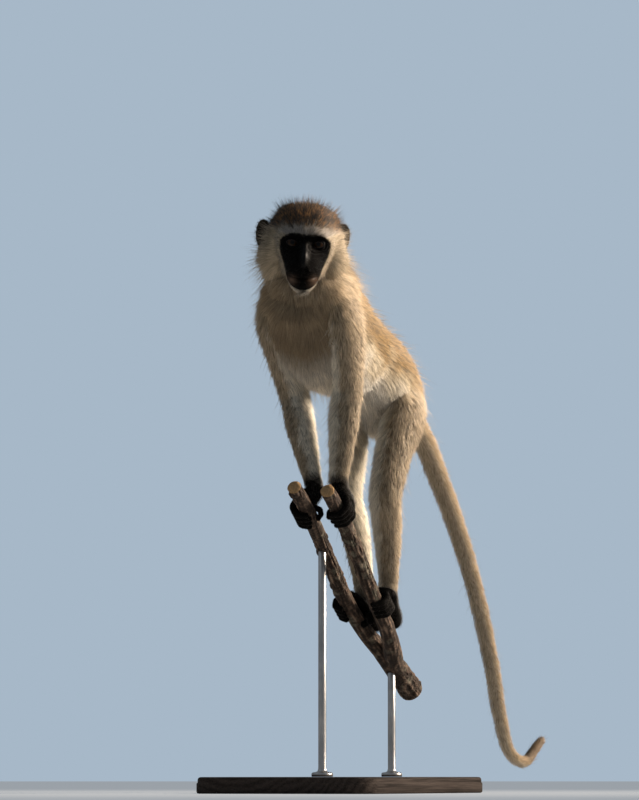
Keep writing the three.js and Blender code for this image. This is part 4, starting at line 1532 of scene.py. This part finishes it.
def wire(tree, nodes, links):
    """Joins named nodes. A link reads "node.output > node.input", where a number is a socket's place."""
    for row in links.split(","):
        ends = [end.strip().split(".") for end in row.split(">")]
        (source, output), (target, socket) = ((name, int(at) if at.isdigit() else at) for name, at in ends)
        tree.links.new(nodes[source].outputs[output], nodes[target].inputs[socket])
    return tree


def new_group(name, inputs, outputs):
    """A shader node group with named sockets, (name, kind, default) inputs and (name, kind) outputs, and its
    two end nodes by name."""
    tree = bpy.data.node_groups.new(name, "ShaderNodeTree")
    for label, kind, default in inputs:
        socket = tree.interface.new_socket(label, in_out="INPUT", socket_type=f"NodeSocket{kind}")
        if default is not None:
            socket.default_value = default
    for label, kind in outputs:
        tree.interface.new_socket(label, in_out="OUTPUT", socket_type=f"NodeSocket{kind}")
    return tree, {"given": tree.nodes.new("NodeGroupInput"), "result": tree.nodes.new("NodeGroupOutput")}


def strand_group():
    """Streaks from root to tip within each tuft, read from the tuft's own patch, and slow drifts of tone
    over the body: puts out the finished hair colour, its roughness and a height for the bump."""
    inputs = [("Tint", "Color", (0.5, 0.4, 0.3, 1)), ("Contrast", "Float", 0.5), ("Drift", "Float", 0.2)]
    outputs = [("Color", "Color"), ("Roughness", "Float"), ("Height", "Float")]
    tree, nodes = new_group("Hair Strands", inputs, outputs)
    nodes.update(
        patch=add(tree, "UVMap", uv_map="OFBake"),
        spread=add(tree, "Mapping", scale=(2400, 220, 1)),
        streaks=noise(tree, 1.0, 2.0),
        place=add(tree, "TexCoord"),
        patches=noise(tree, 38.0, 3.0),
        light=ramp(tree, [(0.3, 0.45), (0.7, 1.35)]),
        slow=ramp(tree, [(0.3, 0.72), (0.7, 1.2)]),
        by_strand=mix(tree, "MULTIPLY"),
        by_place=mix(tree, "MULTIPLY"),
        gloss=add(tree, "MapRange", to_min=0.46, to_max=0.7),
    )
    return wire(tree, nodes, """patch.UV > spread.Vector, spread.Vector > streaks.Vector,
        place.Object > patches.Vector, streaks.Fac > light.Fac, patches.Fac > slow.Fac,
        given.Contrast > by_strand.0, given.Tint > by_strand.6, light.Color > by_strand.7,
        given.Drift > by_place.0, by_strand.2 > by_place.6, slow.Color > by_place.7,
        streaks.Fac > gloss.Value, by_place.2 > result.Color, gloss.Result > result.Roughness,
        streaks.Fac > result.Height""")


def crease_group():
    """Skin like fine leather: a net of creases, pores and soft wrinkles, as a height and a mask. The mask
    is lowest along the creases, where the skins darken their colour by it as painted shade.
    """
    outputs = [("Height", "Float"), ("Mask", "Float")]
    tree, nodes = new_group("Skin Creases", [("Scale", "Float", 900.0)], outputs)
    nodes.update(
        place=add(tree, "TexCoord"),
        cells=add(tree, "TexVoronoi", feature="DISTANCE_TO_EDGE"),
        pores=noise(tree, 1500.0, 4.0),
        folds=noise(tree, 190.0, 3.0),
        net=ramp(tree, [(0.0, 0.35), (0.3, 1.0)]),
        pitted=maths(tree, "MULTIPLY_ADD", 0.45),
        folded=maths(tree, "MULTIPLY_ADD", 1.1),
    )
    return wire(tree, nodes, """place.Object > cells.Vector, place.Object > pores.Vector,
        place.Object > folds.Vector, given.Scale > cells.Scale, cells.Distance > net.Fac,
        pores.Fac > pitted.0, net.Color > pitted.2, folds.Fac > folded.0, pitted.Value > folded.2,
        folded.Value > result.Height, net.Color > result.Mask""")


PITH = (0.04, 0.11)  # where the growth rings' middle lies, across the grain


def grain_group():
    """Wood: growth rings stretched along the grain, crossed by fine pores. The vector's third axis runs
    along the grain. Puts out a colour between the dark and the light one, and a height."""
    inputs = [("Vector", "Vector", None), ("Dark", "Color", (0.05, 0.02, 0.01, 1))]
    inputs.append(("Light", "Color", (0.2, 0.1, 0.04, 1)))
    tree, nodes = new_group("Wood Grain", inputs, [("Color", "Color"), ("Height", "Float")])
    nodes.update(
        stretch=add(tree, "Mapping", location=(*PITH, 0.0), scale=(1.0, 1.0, 0.06)),
        fine=add(tree, "Mapping", scale=(1.0, 1.0, 0.02)),
        bend=noise(tree, 30.0, 3.0),
        shift=add(tree, "VectorMath", operation="MULTIPLY_ADD"),
        rings=add(
            tree, "TexWave", wave_type="RINGS", rings_direction="Z", scale=42.0, distortion=2.2, detail=3.0
        ),
        pores=noise(tree, 900.0, 5.0),
        lines=ramp(tree, [(0.36, 0.0), (0.64, 1.0)]),
        both=mix(tree, factor=0.62),
        tone=mix(tree),
    )
    nodes["shift"].inputs[1].default_value = (0.02, 0.02, 0.0)
    return wire(tree, nodes, """given.Vector > stretch.Vector, stretch.Vector > bend.Vector,
        bend.Color > shift.0, stretch.Vector > shift.2, shift.Vector > rings.Vector,
        given.Vector > fine.Vector, fine.Vector > pores.Vector, pores.Fac > lines.Fac,
        rings.Fac > both.6, lines.Color > both.7, both.2 > tone.0, given.Dark > tone.6,
        given.Light > tone.7, tone.2 > result.Color, both.2 > result.Height""")


def dust_group():
    """Handling marks and dust: more on faces that look up, broken by noise. Puts out a mask."""
    tree, nodes = new_group("Dust", [("Amount", "Float", 0.3)], [("Mask", "Float")])
    nodes.update(
        place=add(tree, "TexCoord"),
        facing=add(tree, "SeparateXYZ"),
        cloud=noise(tree, 26.0, 6.0),
        broken=ramp(tree, [(0.42, 0.0), (0.72, 1.0)]),
        upward=add(tree, "MapRange", from_min=0.1, from_max=1.0, to_min=0.15, to_max=1.0),
        lying=maths(tree, "MULTIPLY"),
        share=maths(tree, "MULTIPLY"),
    )
    return wire(tree, nodes, """place.Object > cloud.Vector, place.Normal > facing.Vector,
        facing.Z > upward.Value, cloud.Fac > broken.Fac, broken.Color > lying.0, upward.Result > lying.1,
        lying.Value > share.0, given.Amount > share.1, share.Value > result.Mask""")


GROUPS = {
    "Hair Strands": strand_group,
    "Skin Creases": crease_group,
    "Wood Grain": grain_group,
    "Dust": dust_group,
}


def placed(tree, name, **values):
    """The named group placed in a material with its own values. It is built when it is first asked for."""
    node = tree.nodes.new("ShaderNodeGroup")
    node.node_tree = bpy.data.node_groups.get(name) or GROUPS[name]()
    for key, value in values.items():
        node.inputs[key.title()].default_value = value
    return node


# ---------------- materials


def new_finish(name, **values):
    """A material, its node tree, and its Principled shader as the first of its named nodes. A value that is
    the same all over is set on the shader's own socket."""
    material = bpy.data.materials.new(name)
    material.use_nodes = True
    shader = material.node_tree.nodes["Principled BSDF"]
    for key, value in values.items():
        label = "Specular IOR Level" if key == "specular" else key.replace("_", " ").title()
        shader.inputs[label].default_value = value
    return material, material.node_tree, {"shader": shader}


def hair_finish(name, contrast, drift, sheen):
    """Fur: the tint of each tuft, streaked along its length and drifting over the body."""
    material, tree, nodes = new_finish(name, sheen_weight=sheen, sheen_roughness=0.45, specular=0.32)
    nodes.update(
        tint=numbers(tree, "tint"),
        strands=placed(tree, "Hair Strands", contrast=contrast, drift=drift),
        bump=bump_map(tree, 0.0002, 0.4),
    )
    wire(tree, nodes, """tint.Color > strands.Tint, strands.Color > shader.Base Color,
        strands.Roughness > shader.Roughness, strands.Height > bump.Height, bump.Normal > shader.Normal""")
    return material


def skin_finish():
    """Black, finely creased skin where it is bare, polished down the nose and on the lips, and matt skin
    under the coat in the coat's colour, darkened as painted shade. Painted shade also darkens the creases."""
    material, tree, nodes = new_finish("black_skin", coat_roughness=0.32, specular=0.026)
    nodes.update(
        pigment=numbers(tree, "pigment"),
        bare=numbers(tree, "bare"),
        worn=numbers(tree, "worn"),
        creases=placed(tree, "Skin Creases", scale=1500.0),
        place=add(tree, "TexCoord"),
        mottle=noise(tree, 120.0, 5.0),
        tone=ramp(tree, [(0.3, 0.6), (0.7, 1.5)]),
        mottled=mix(tree, "MULTIPLY", 0.75),
        # Painted shade: the creases' mask darkens the colour along each crease.
        lined=mix(tree, "MULTIPLY", 0.35),
        gloss=add(tree, "MapRange", to_min=0.97, to_max=0.84),
        polish=maths(tree, "MULTIPLY_ADD", -0.48),
        covered=add(tree, "MapRange", to_min=0.95, to_max=0.0),
        rough=maths(tree, "MAXIMUM"),
        shine=maths(tree, "MULTIPLY", 0.18),
        bump=bump_map(tree, 0.00016, 0.5),
    )
    wire(tree, nodes, """place.Object > mottle.Vector, mottle.Fac > tone.Fac, pigment.Color > mottled.6,
        tone.Color > mottled.7, mottled.2 > lined.6, creases.Mask > lined.7, lined.2 > shader.Base Color,
        creases.Mask > gloss.Value, worn.Fac > polish.0, gloss.Result > polish.2, bare.Fac > covered.Value,
        polish.Value > rough.0, covered.Result > rough.1, rough.Value > shader.Roughness,
        worn.Fac > shine.0, shine.Value > shader.Coat Weight, creases.Height > bump.Height,
        bump.Normal > shader.Normal""")
    return material


def lid_finish():
    """The moist black rims of the lids, with painted shade along their creases."""
    material, tree, nodes = new_finish(
        "wet_lid", coat_weight=0.12, coat_roughness=0.2, roughness=0.5, specular=0.2
    )
    nodes.update(
        creases=placed(tree, "Skin Creases", scale=1500.0),
        # Painted shade: darker along the creases, by the creases' mask.
        tone=ramp(tree, [(0.0, (0.006, 0.004, 0.004)), (1.0, (0.018, 0.012, 0.011))]),
        bump=bump_map(tree, 0.0001, 0.4),
    )
    wire(tree, nodes, """creases.Mask > tone.Fac, tone.Color > shader.Base Color,
        creases.Height > bump.Height, bump.Normal > shader.Normal""")
    return material


def eye_finish(iris):
    """A glossy eye: black pupil, brown iris with fibres that run out from it, a dark ring, and a brown-grey
    white that the lids almost hide."""
    material, tree, nodes = new_finish(
        "eye", coat_weight=0.22, coat_roughness=0.03, roughness=0.3, specular=0.05
    )
    pupil, ring, white = (0.002, 0.002, 0.002), (0.006, 0.004, 0.003), (0.02, 0.013, 0.009)
    inner, outer = ([v * share for v in iris] for share in (0.6, 0.7))
    stops = [(0.0, pupil), (0.34, pupil), (0.38, inner), (0.62, iris)]
    stops += [(0.86, outer), (0.97, ring), (1.0, white)]
    nodes.update(
        out=numbers(tree, "off_axis"),
        spokes=numbers(tree, "spokes"),
        stretch=add(tree, "Mapping", scale=(11, 11, 1.2)),
        fibres=noise(tree, 1.6, 4.0),
        spread=ramp(tree, [(0.3, 0.5), (0.72, 1.6)]),
        zones=ramp(tree, stops),
        colour=mix(tree, "MULTIPLY", 1.0),
    )
    wire(tree, nodes, """spokes.Vector > stretch.Vector, stretch.Vector > fibres.Vector,
        fibres.Fac > spread.Fac, out.Fac > zones.Fac, zones.Color > colour.6, spread.Color > colour.7,
        colour.2 > shader.Base Color""")
    return material


def bark_finish(colours):
    """Bark that is darkest in its furrows, partly its own colour and partly painted shade, and dusty on
    its ridges, with bare wood at the cut ends.
    """
    material, tree, nodes = new_finish("bark", roughness=0.86, specular=0.25)
    # Darkest where the furrow value is high, down to 0.35 of the bark: partly the bark's own colour, partly
    # painted shade.
    ridges = [(0.12, colours.bark_ridge), (0.5, colours.bark), (0.85, colours.bark * 0.35)]
    nodes.update(
        furrow=numbers(tree, "furrow"),
        cut=numbers(tree, "cut"),
        wood=numbers(tree, "wood"),
        place=add(tree, "TexCoord"),
        scales=add(tree, "TexVoronoi", scale=230.0, feature="F1"),
        cloud=noise(tree, 75.0, 7.0),
        fine=noise(tree, 900.0, 5.0),
        shade=ramp(tree, ridges),
        along=add(tree, "Mapping", scale=(0.42, 0.42, 0.05)),
        fibre=noise(tree, 1.0, 7.0),
        streaks=ramp(tree, [(0.32, 0.42), (0.66, 1.35)]),
        streaked=mix(tree, "MULTIPLY", 0.75),
        lichen=ramp(tree, [(0.56, 0.0), (0.68, 1.0)]),
        amount=maths(tree, "MULTIPLY", 0.4),
        spread=mix(tree, second=colours.lichen),
        specks=ramp(tree, [(0.3, 0.55), (0.7, 1.25)]),
        speckled=mix(tree, "MULTIPLY", 0.7),
        grain=placed(tree, "Wood Grain", dark=(*colours.cut_wood * 0.45, 1), light=(*colours.cut_wood, 1)),
        shrink=add(tree, "Mapping", location=(-PITH[0], -PITH[1], 0.0), scale=(0.003, 0.003, 0.0)),
        ends=mix(tree),
        height=maths(tree, "MULTIPLY_ADD", 0.6),
        bump=bump_map(tree, 0.0012, 0.8),
    )
    wire(tree, nodes, """place.Object > scales.Vector, place.Object > cloud.Vector,
        place.Object > fine.Vector, furrow.Fac > shade.Fac, cloud.Fac > lichen.Fac,
        lichen.Color > amount.0, amount.Value > spread.0, shade.Color > spread.6, fine.Fac > specks.Fac,
        spread.2 > speckled.6, specks.Color > speckled.7, wood.Vector > along.Vector,
        along.Vector > fibre.Vector, fibre.Fac > streaks.Fac, speckled.2 > streaked.6,
        streaks.Color > streaked.7, wood.Vector > shrink.Vector, shrink.Vector > grain.Vector,
        cut.Fac > ends.0, streaked.2 > ends.6, grain.Color > ends.7, ends.2 > shader.Base Color,
        fine.Fac > height.0, scales.Distance > height.2, height.Value > bump.Height,
        bump.Normal > shader.Normal""")
    return material


def wood_finish(colours):
    """Dark stained wood, nearly matt, with the grain along the plinth and a little dust."""
    material, tree, nodes = new_finish("stained_wood", specular=0.045)
    nodes.update(
        place=add(tree, "TexCoord"),
        along=add(tree, "Mapping", rotation=(math.radians(90), 0, 0)),
        grain=placed(tree, "Wood Grain", dark=(*colours.stain * 0.3, 1), light=(*colours.stain * 1.2, 1)),
        dust=placed(tree, "Dust", amount=0.05),
        dusty=mix(tree, second=(0.32, 0.29, 0.25)),
        rough=add(tree, "MapRange", to_min=0.8, to_max=0.9),
        bump=bump_map(tree, 0.00012, 0.35),
    )
    wire(tree, nodes, """place.Object > along.Vector, along.Vector > grain.Vector, grain.Color > dusty.6,
        dust.Mask > dusty.0, dusty.2 > shader.Base Color, dust.Mask > rough.Value,
        rough.Result > shader.Roughness, grain.Height > bump.Height, bump.Normal > shader.Normal""")
    return material


def steel_finish():
    """Brushed steel: fine scratches round the rod as roughness and bump, dulled by dust."""
    material, tree, nodes = new_finish("steel", metallic=1.0)
    nodes.update(
        place=add(tree, "TexCoord"),
        stretch=add(tree, "Mapping", scale=(0.05, 0.05, 1.0)),
        brushed=noise(tree, 4200.0, 3.0),
        cloud=noise(tree, 60.0, 4.0),
        tone=ramp(tree, [(0.25, (0.34, 0.33, 0.32)), (0.75, (0.56, 0.55, 0.53))]),
        rough=add(tree, "MapRange", to_min=0.24, to_max=0.42),
        dust=placed(tree, "Dust", amount=0.25),
        dusty=mix(tree, second=(0.22, 0.2, 0.18)),
        bump=bump_map(tree, 0.00005, 0.3),
    )
    wire(tree, nodes, """place.Object > stretch.Vector, stretch.Vector > brushed.Vector,
        place.Object > cloud.Vector, brushed.Fac > rough.Value, cloud.Fac > tone.Fac,
        tone.Color > dusty.6, dust.Mask > dusty.0, dusty.2 > shader.Base Color,
        rough.Result > shader.Roughness, brushed.Fac > bump.Height, bump.Normal > shader.Normal""")
    return material


def floor_finish():
    """A pale matt floor. The camera sees it evened out with a plain glow, which lights nothing else."""
    material, tree, nodes = new_finish("pale_floor", roughness=0.9, specular=0.1)
    nodes.update(
        place=add(tree, "TexCoord"),
        cloud=noise(tree, 1.3, 4.0),
        tone=ramp(tree, [(0.2, (0.56, 0.58, 0.6)), (0.8, (0.62, 0.635, 0.65))]),
        glow=add(tree, "Emission", color=(0.46, 0.5, 0.54, 1)),
        rays=add(tree, "LightPath"),
        share=maths(tree, "MULTIPLY", 0.6),
        both=add(tree, "MixShader"),
        output=tree.nodes["Material Output"],
    )
    wire(tree, nodes, """place.Object > cloud.Vector, cloud.Fac > tone.Fac,
        tone.Color > shader.Base Color, rays.Is Camera Ray > share.0, share.Value > both.0,
        shader.0 > both.1, glow.0 > both.2, both.0 > output.Surface""")
    return material


def dress(piece, material, slot, replaced=()):
    """Gives a piece its finish and its body, and hides what it replaces. The slot is not used."""
    piece.data.materials.clear()
    piece.data.materials.append(material)
    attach(piece, "root")
    if replaced:
        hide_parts(*replaced)


# ---------------- settings


def linear(code):
    """A colour code as linear red, green and blue: ((v + 0.055) / 1.055)^2.4, or v / 12.92 when dark."""
    parts = np.array([int(code[k : k + 2], 16) for k in (0, 2, 4)]) / 255
    return tuple(np.where(parts <= 0.04045, parts / 12.92, ((parts + 0.055) / 1.055) ** 2.4))


def colour(name, code, description):
    """A colour setting, given by its code."""
    words = {"name": name, "description": description}
    return FloatVectorProperty(**words, default=linear(code), subtype="COLOR", size=3, min=0, max=1)


def length(name, start, description):
    """A length setting in metres."""
    return FloatProperty(name=name, description=description, default=start, unit="LENGTH", min=0.0008)


def number(name, start, description):
    """A plain number setting."""
    return FloatProperty(name=name, description=description, default=start)


class VervetColours(bpy.types.PropertyGroup):
    belly: colour("Belly", "e2dacb", "Hair of the belly and the insides of the thighs")
    flank: colour("Flank", "e0d4bd", "Hair low on the flanks")
    back: colour("Back", "8f7648", "Base of the hair on the back and the nape")
    gold: colour("Gold", "ac8550", "Golden bands near the tips of the hair on the back")
    chest: colour("Chest", "a48e70", "Hair of the chest and the throat")
    shoulder: colour("Shoulder", "b9a485", "Hair of the shoulders and hips")
    limb: colour("Limbs", "b5a48b", "Hair of the outsides of the arms and legs")
    cream: colour("Cream", "ddd3bf", "Hair of the insides of the limbs and under the tail")
    tail: colour("Tail", "9f8a6b", "Hair of the tail")
    tail_tip: colour("Tail tip", "6b5a45", "Hair of the last of the tail")
    cheek: colour("Cheeks", "c2b093", "Whiskers of the cheeks")
    brow: colour("Brow", "ada397", "The pale band over the eyes")
    crown: colour("Crown", "2b2119", "Base of the hair of the crown")
    crown_gold: colour("Crown tips", "a27440", "Rufous tips in the hair of the crown")
    black: colour("Black hair", "1a1612", "Black tips and loose hairs")
    paw: colour("Paws", "25211d", "Short hair of the hands, the feet and the ears")
    black_skin: colour("Skin", "0a0908", "Bare skin of the face, the ears, the hands and the feet")
    lip: colour("Lips", "6e5848", "The paler skin at the sides of the lips")
    iris: colour("Iris", "2b1b0d", "Iris of the eyes")
    bark: colour("Bark", "55463b", "Bark of the branch")
    bark_ridge: colour("Bark ridges", "85705f", "Weathered ridges of the bark")
    lichen: colour("Lichen", "8d8a78", "Pale growth on the bark")
    cut_wood: colour("Cut wood", "b89468", "Wood at the sawn ends of the branch")
    stain: colour("Stain", "3d3632", "Stained wood of the plinth")


class VervetSkin(bpy.types.PropertyGroup):
    grain: length("Grain", 0.0012, "Size of the remesh's cells")
    melting: IntProperty(name="Melting", description="Rounds of smoothing where two parts meet", default=60)
    kept: number("Kept", 0.27, "Share of the triangles kept under the coat")


class VervetCoat(bpy.types.PropertyGroup):
    density: number("Density", 1.0, "Share of the full count of tufts")
    width: number("Width", 0.38, "Half width of a full tuft in millimetres")
    lock: number("Lock", 7.5, "Size of a lock of hair in millimetres")
    ruffle: number("Ruffle", 0.22, "How far tufts stray from the lie of the coat")


class VervetBranch(bpy.types.PropertyGroup):
    bark_grain: length("Bark grain", 0.0011, "Size of the remesh's cells")


class VervetStage(bpy.types.PropertyGroup):
    floor: length("Floor", 9.0, "Radius of the floor")
    key: number("Key", 21.0, "Power of the warm key light in watts")
    fill: number("Fill", 0.25, "Strength of the light from all round")
    background: colour("Background", "a7b8c8", "Plain background behind the model")


def palette():
    """The colours as arrays, by name."""
    chosen = bpy.context.scene.vervet_colours
    return SimpleNamespace(**{key: np.array(getattr(chosen, key)) for key in VervetColours.__annotations__})


# ---------------- operators


class VERVET_OT_skin(bpy.types.Operator):
    """Make one skin over the whole body, with the bare face, ears, hands and feet"""

    bl_idname = "vervet.make_skin"
    bl_label = "Make Skin"

    def execute(self, context):
        piece = make_skin(context.scene.vervet_skin, palette())
        dress(piece, skin_finish(), "black_skin", FLESH)
        return {"FINISHED"}


class VERVET_OT_eyes(bpy.types.Operator):
    """Make the eyeballs and the wet rims of the lids"""

    bl_idname = "vervet.make_eyes"
    bl_label = "Make Eyes"

    def execute(self, context):
        finish = eye_finish(palette().iris.tolist())
        for name in SIDE:
            dress(make_eyeball(name), finish, "eye", [f"eye_{name}"])
        dress(make_lid_rims(), lid_finish(), "black_skin")
        return {"FINISHED"}


class VERVET_OT_coat(bpy.types.Operator):
    """Grow the coat as solid tufts over the skin"""

    bl_idname = "vervet.make_coat"
    bl_label = "Make Coat"

    def execute(self, context):
        skin = bpy.data.objects["vervet_skin"]
        looks = {
            "crown_fur": (0.55, 0.35, 0.03),
            "ruff_fur": (0.4, 0.2, 0.15),
            "grizzled_fur": (0.5, 0.3, 0.12),
            "dark_fur": (0.5, 0.3, 0.1),
        }
        finishes = {slot: hair_finish(slot, *look) for slot, look in looks.items()}
        slots = {"coat_crown": "crown_fur", "coat_cheeks": "ruff_fur", "coat_neck": "ruff_fur"}
        slots["coat_tail_tip"] = "dark_fur"
        for name, piece in make_coat(skin, palette(), context.scene.vervet_coat).items():
            slot = slots.get(name, "grizzled_fur")
            dress(piece, finishes[slot], slot)
        return {"FINISHED"}


class VERVET_OT_short_hair(bpy.types.Operator):
    """Grow the short hair of the face, the ears, the hands and the feet"""

    bl_idname = "vervet.make_short_hair"
    bl_label = "Make Short Hair"

    def execute(self, context):
        skin = bpy.data.objects["vervet_skin"]
        piece = make_short_hair(skin, palette(), context.scene.vervet_coat)
        dress(piece, hair_finish("short_fur", 0.4, 0.2, 0.0), "dark_fur")
        return {"FINISHED"}


class VERVET_OT_branch(bpy.types.Operator):
    """Make the forked branch with its bark and its cut ends"""

    bl_idname = "vervet.make_branch"
    bl_label = "Make Branch"

    def execute(self, context):
        dress(make_branch(context.scene.vervet_branch), bark_finish(palette()), "bark", ["branch"])
        return {"FINISHED"}


class VERVET_OT_stand(bpy.types.Operator):
    """Make the plinth and the two rods that hold the branch"""

    bl_idname = "vervet.make_stand"
    bl_label = "Make Stand"

    def execute(self, context):
        dress(make_base(), wood_finish(palette()), "stained_wood", ["stand_base"])
        steel = steel_finish()
        for end in ("front", "rear"):
            dress(make_rod(end), steel, "steel", [f"stand_rod_{end}"])
        return {"FINISHED"}


CAMERA_PLACE, CAMERA_AIM = (1.76707, -4.44332, 0.02012), (-0.0242, -0.0098, 0.4385)
CAMERA_LENS, CAMERA_SENSOR = 192.9, 36  # in millimetres


class VERVET_OT_stage(bpy.types.Operator):
    """Set the floor, the background, the lights and the camera"""

    bl_idname = "vervet.make_stage"
    bl_label = "Make Stage"

    def execute(self, context):
        stage = context.scene.vervet_stage
        make_floor(stage.floor)
        make_world(stage.background, stage.fill)
        aim = Vector(CAMERA_AIM)
        make_light("key_light", aim, (2.87, 1.8, 1.75), stage.key, 1.3, (1.0, 0.85, 0.7), math.radians(35))
        make_light("sky_light", aim, (-2.2, -1.6, 2.6), stage.key * 0.13, 2.4, (0.84, 0.94, 1.0))
        camera = new_piece("camera", bpy.data.cameras.new("camera"))
        camera.data.lens, camera.data.sensor_width = CAMERA_LENS, CAMERA_SENSOR
        camera.data.clip_end = 60
        face_towards(camera, CAMERA_PLACE, aim)
        context.scene.camera = camera
        context.scene.view_settings.view_transform = "Standard"
        return {"FINISHED"}


def make_floor(radius):
    """A flat disc as rings of growing radius about the origin."""
    turn = full_turn(128)
    circle = np.column_stack([np.cos(turn), np.sin(turn), 0 * turn])
    rings = np.array([r * circle for r in (0.3, 1, 3, radius)])
    points, faces = closed_grid(rings / MM, np.zeros((1, 3)), np.zeros((1, 3)))
    outer_pole = len(points) - 1
    mesh = new_mesh("floor", points[:outer_pole], faces[(faces != outer_pole).all(1)])
    mesh.materials.append(floor_finish())
    new_piece("floor", mesh)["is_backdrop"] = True


def make_world(background, fill):
    """A plain background for the camera, and a soft cool light from all round for everything else."""
    world = bpy.data.worlds.new("studio")
    bpy.context.scene.world = world
    world.use_nodes = True
    tree = world.node_tree
    tree.nodes.clear()
    nodes = {
        "seen": add(tree, "Background", color=(*background, 1), strength=1.0),
        "light": add(tree, "Background", color=(0.8, 0.89, 1.0, 1), strength=fill),
        "rays": add(tree, "LightPath"),
        "chosen": add(tree, "MixShader"),
        "output": add(tree, "OutputWorld"),
    }
    wire(tree, nodes, """rays.Is Camera Ray > chosen.0, light.0 > chosen.1, seen.0 > chosen.2,
        chosen.0 > output.0""")


def make_light(name, aim, place, power, size, tint, spread=math.pi):
    """A square soft light at a place, facing the model."""
    lamp = bpy.data.lights.new(name, "AREA")
    lamp.energy, lamp.size, lamp.color, lamp.spread = power, size, tint, spread
    light = new_piece(name, lamp)
    face_towards(light, place, aim)
    light.visible_camera = False


def face_towards(thing, place, aim):
    """Sets a light or a camera at a place, looking at the aim."""
    thing.location = place
    thing.rotation_euler = (aim - thing.location).to_track_quat("-Z", "Y").to_euler()


OPERATORS = (
    VERVET_OT_skin,
    VERVET_OT_eyes,
    VERVET_OT_coat,
    VERVET_OT_short_hair,
    VERVET_OT_branch,
    VERVET_OT_stand,
    VERVET_OT_stage,
)


class VERVET_PT_panel(bpy.types.Panel):
    """The sidebar panel: a button for each operator and the settings in boxes"""

    bl_label = "Vervet Monkey"
    bl_idname = "VERVET_PT_panel"
    bl_space_type = "VIEW_3D"
    bl_region_type = "UI"
    bl_category = "Vervet"

    def draw(self, context):
        layout = self.layout
        for operator in OPERATORS:
            layout.operator(operator.bl_idname)
        for key, kind in SETTINGS.items():
            box = layout.box()
            box.label(text=key.replace("vervet_", "").title())
            for prop in kind.__annotations__:
                box.prop(getattr(context.scene, key), prop)


SETTINGS = {
    "vervet_colours": VervetColours,
    "vervet_skin": VervetSkin,
    "vervet_coat": VervetCoat,
    "vervet_branch": VervetBranch,
    "vervet_stage": VervetStage,
}
CLASSES = (*SETTINGS.values(), *OPERATORS, VERVET_PT_panel)


def register():
    for each in CLASSES:
        bpy.utils.register_class(each)
    for key, kind in SETTINGS.items():
        setattr(bpy.types.Scene, key, PointerProperty(type=kind))


def unregister():
    for key in SETTINGS:
        delattr(bpy.types.Scene, key)
    for each in reversed(CLASSES):
        bpy.utils.unregister_class(each)


def main():
    """Makes every piece in order."""
    register()
    for operator in OPERATORS:
        group, call = operator.bl_idname.split(".")
        getattr(getattr(bpy.ops, group), call)()
    boxes = {"cad": CAD_BOX, "visual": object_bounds()}
    sizes = {key: [list(corner) for corner in corners] for key, corners in boxes.items()}


if __name__ == "__main__":
    main()
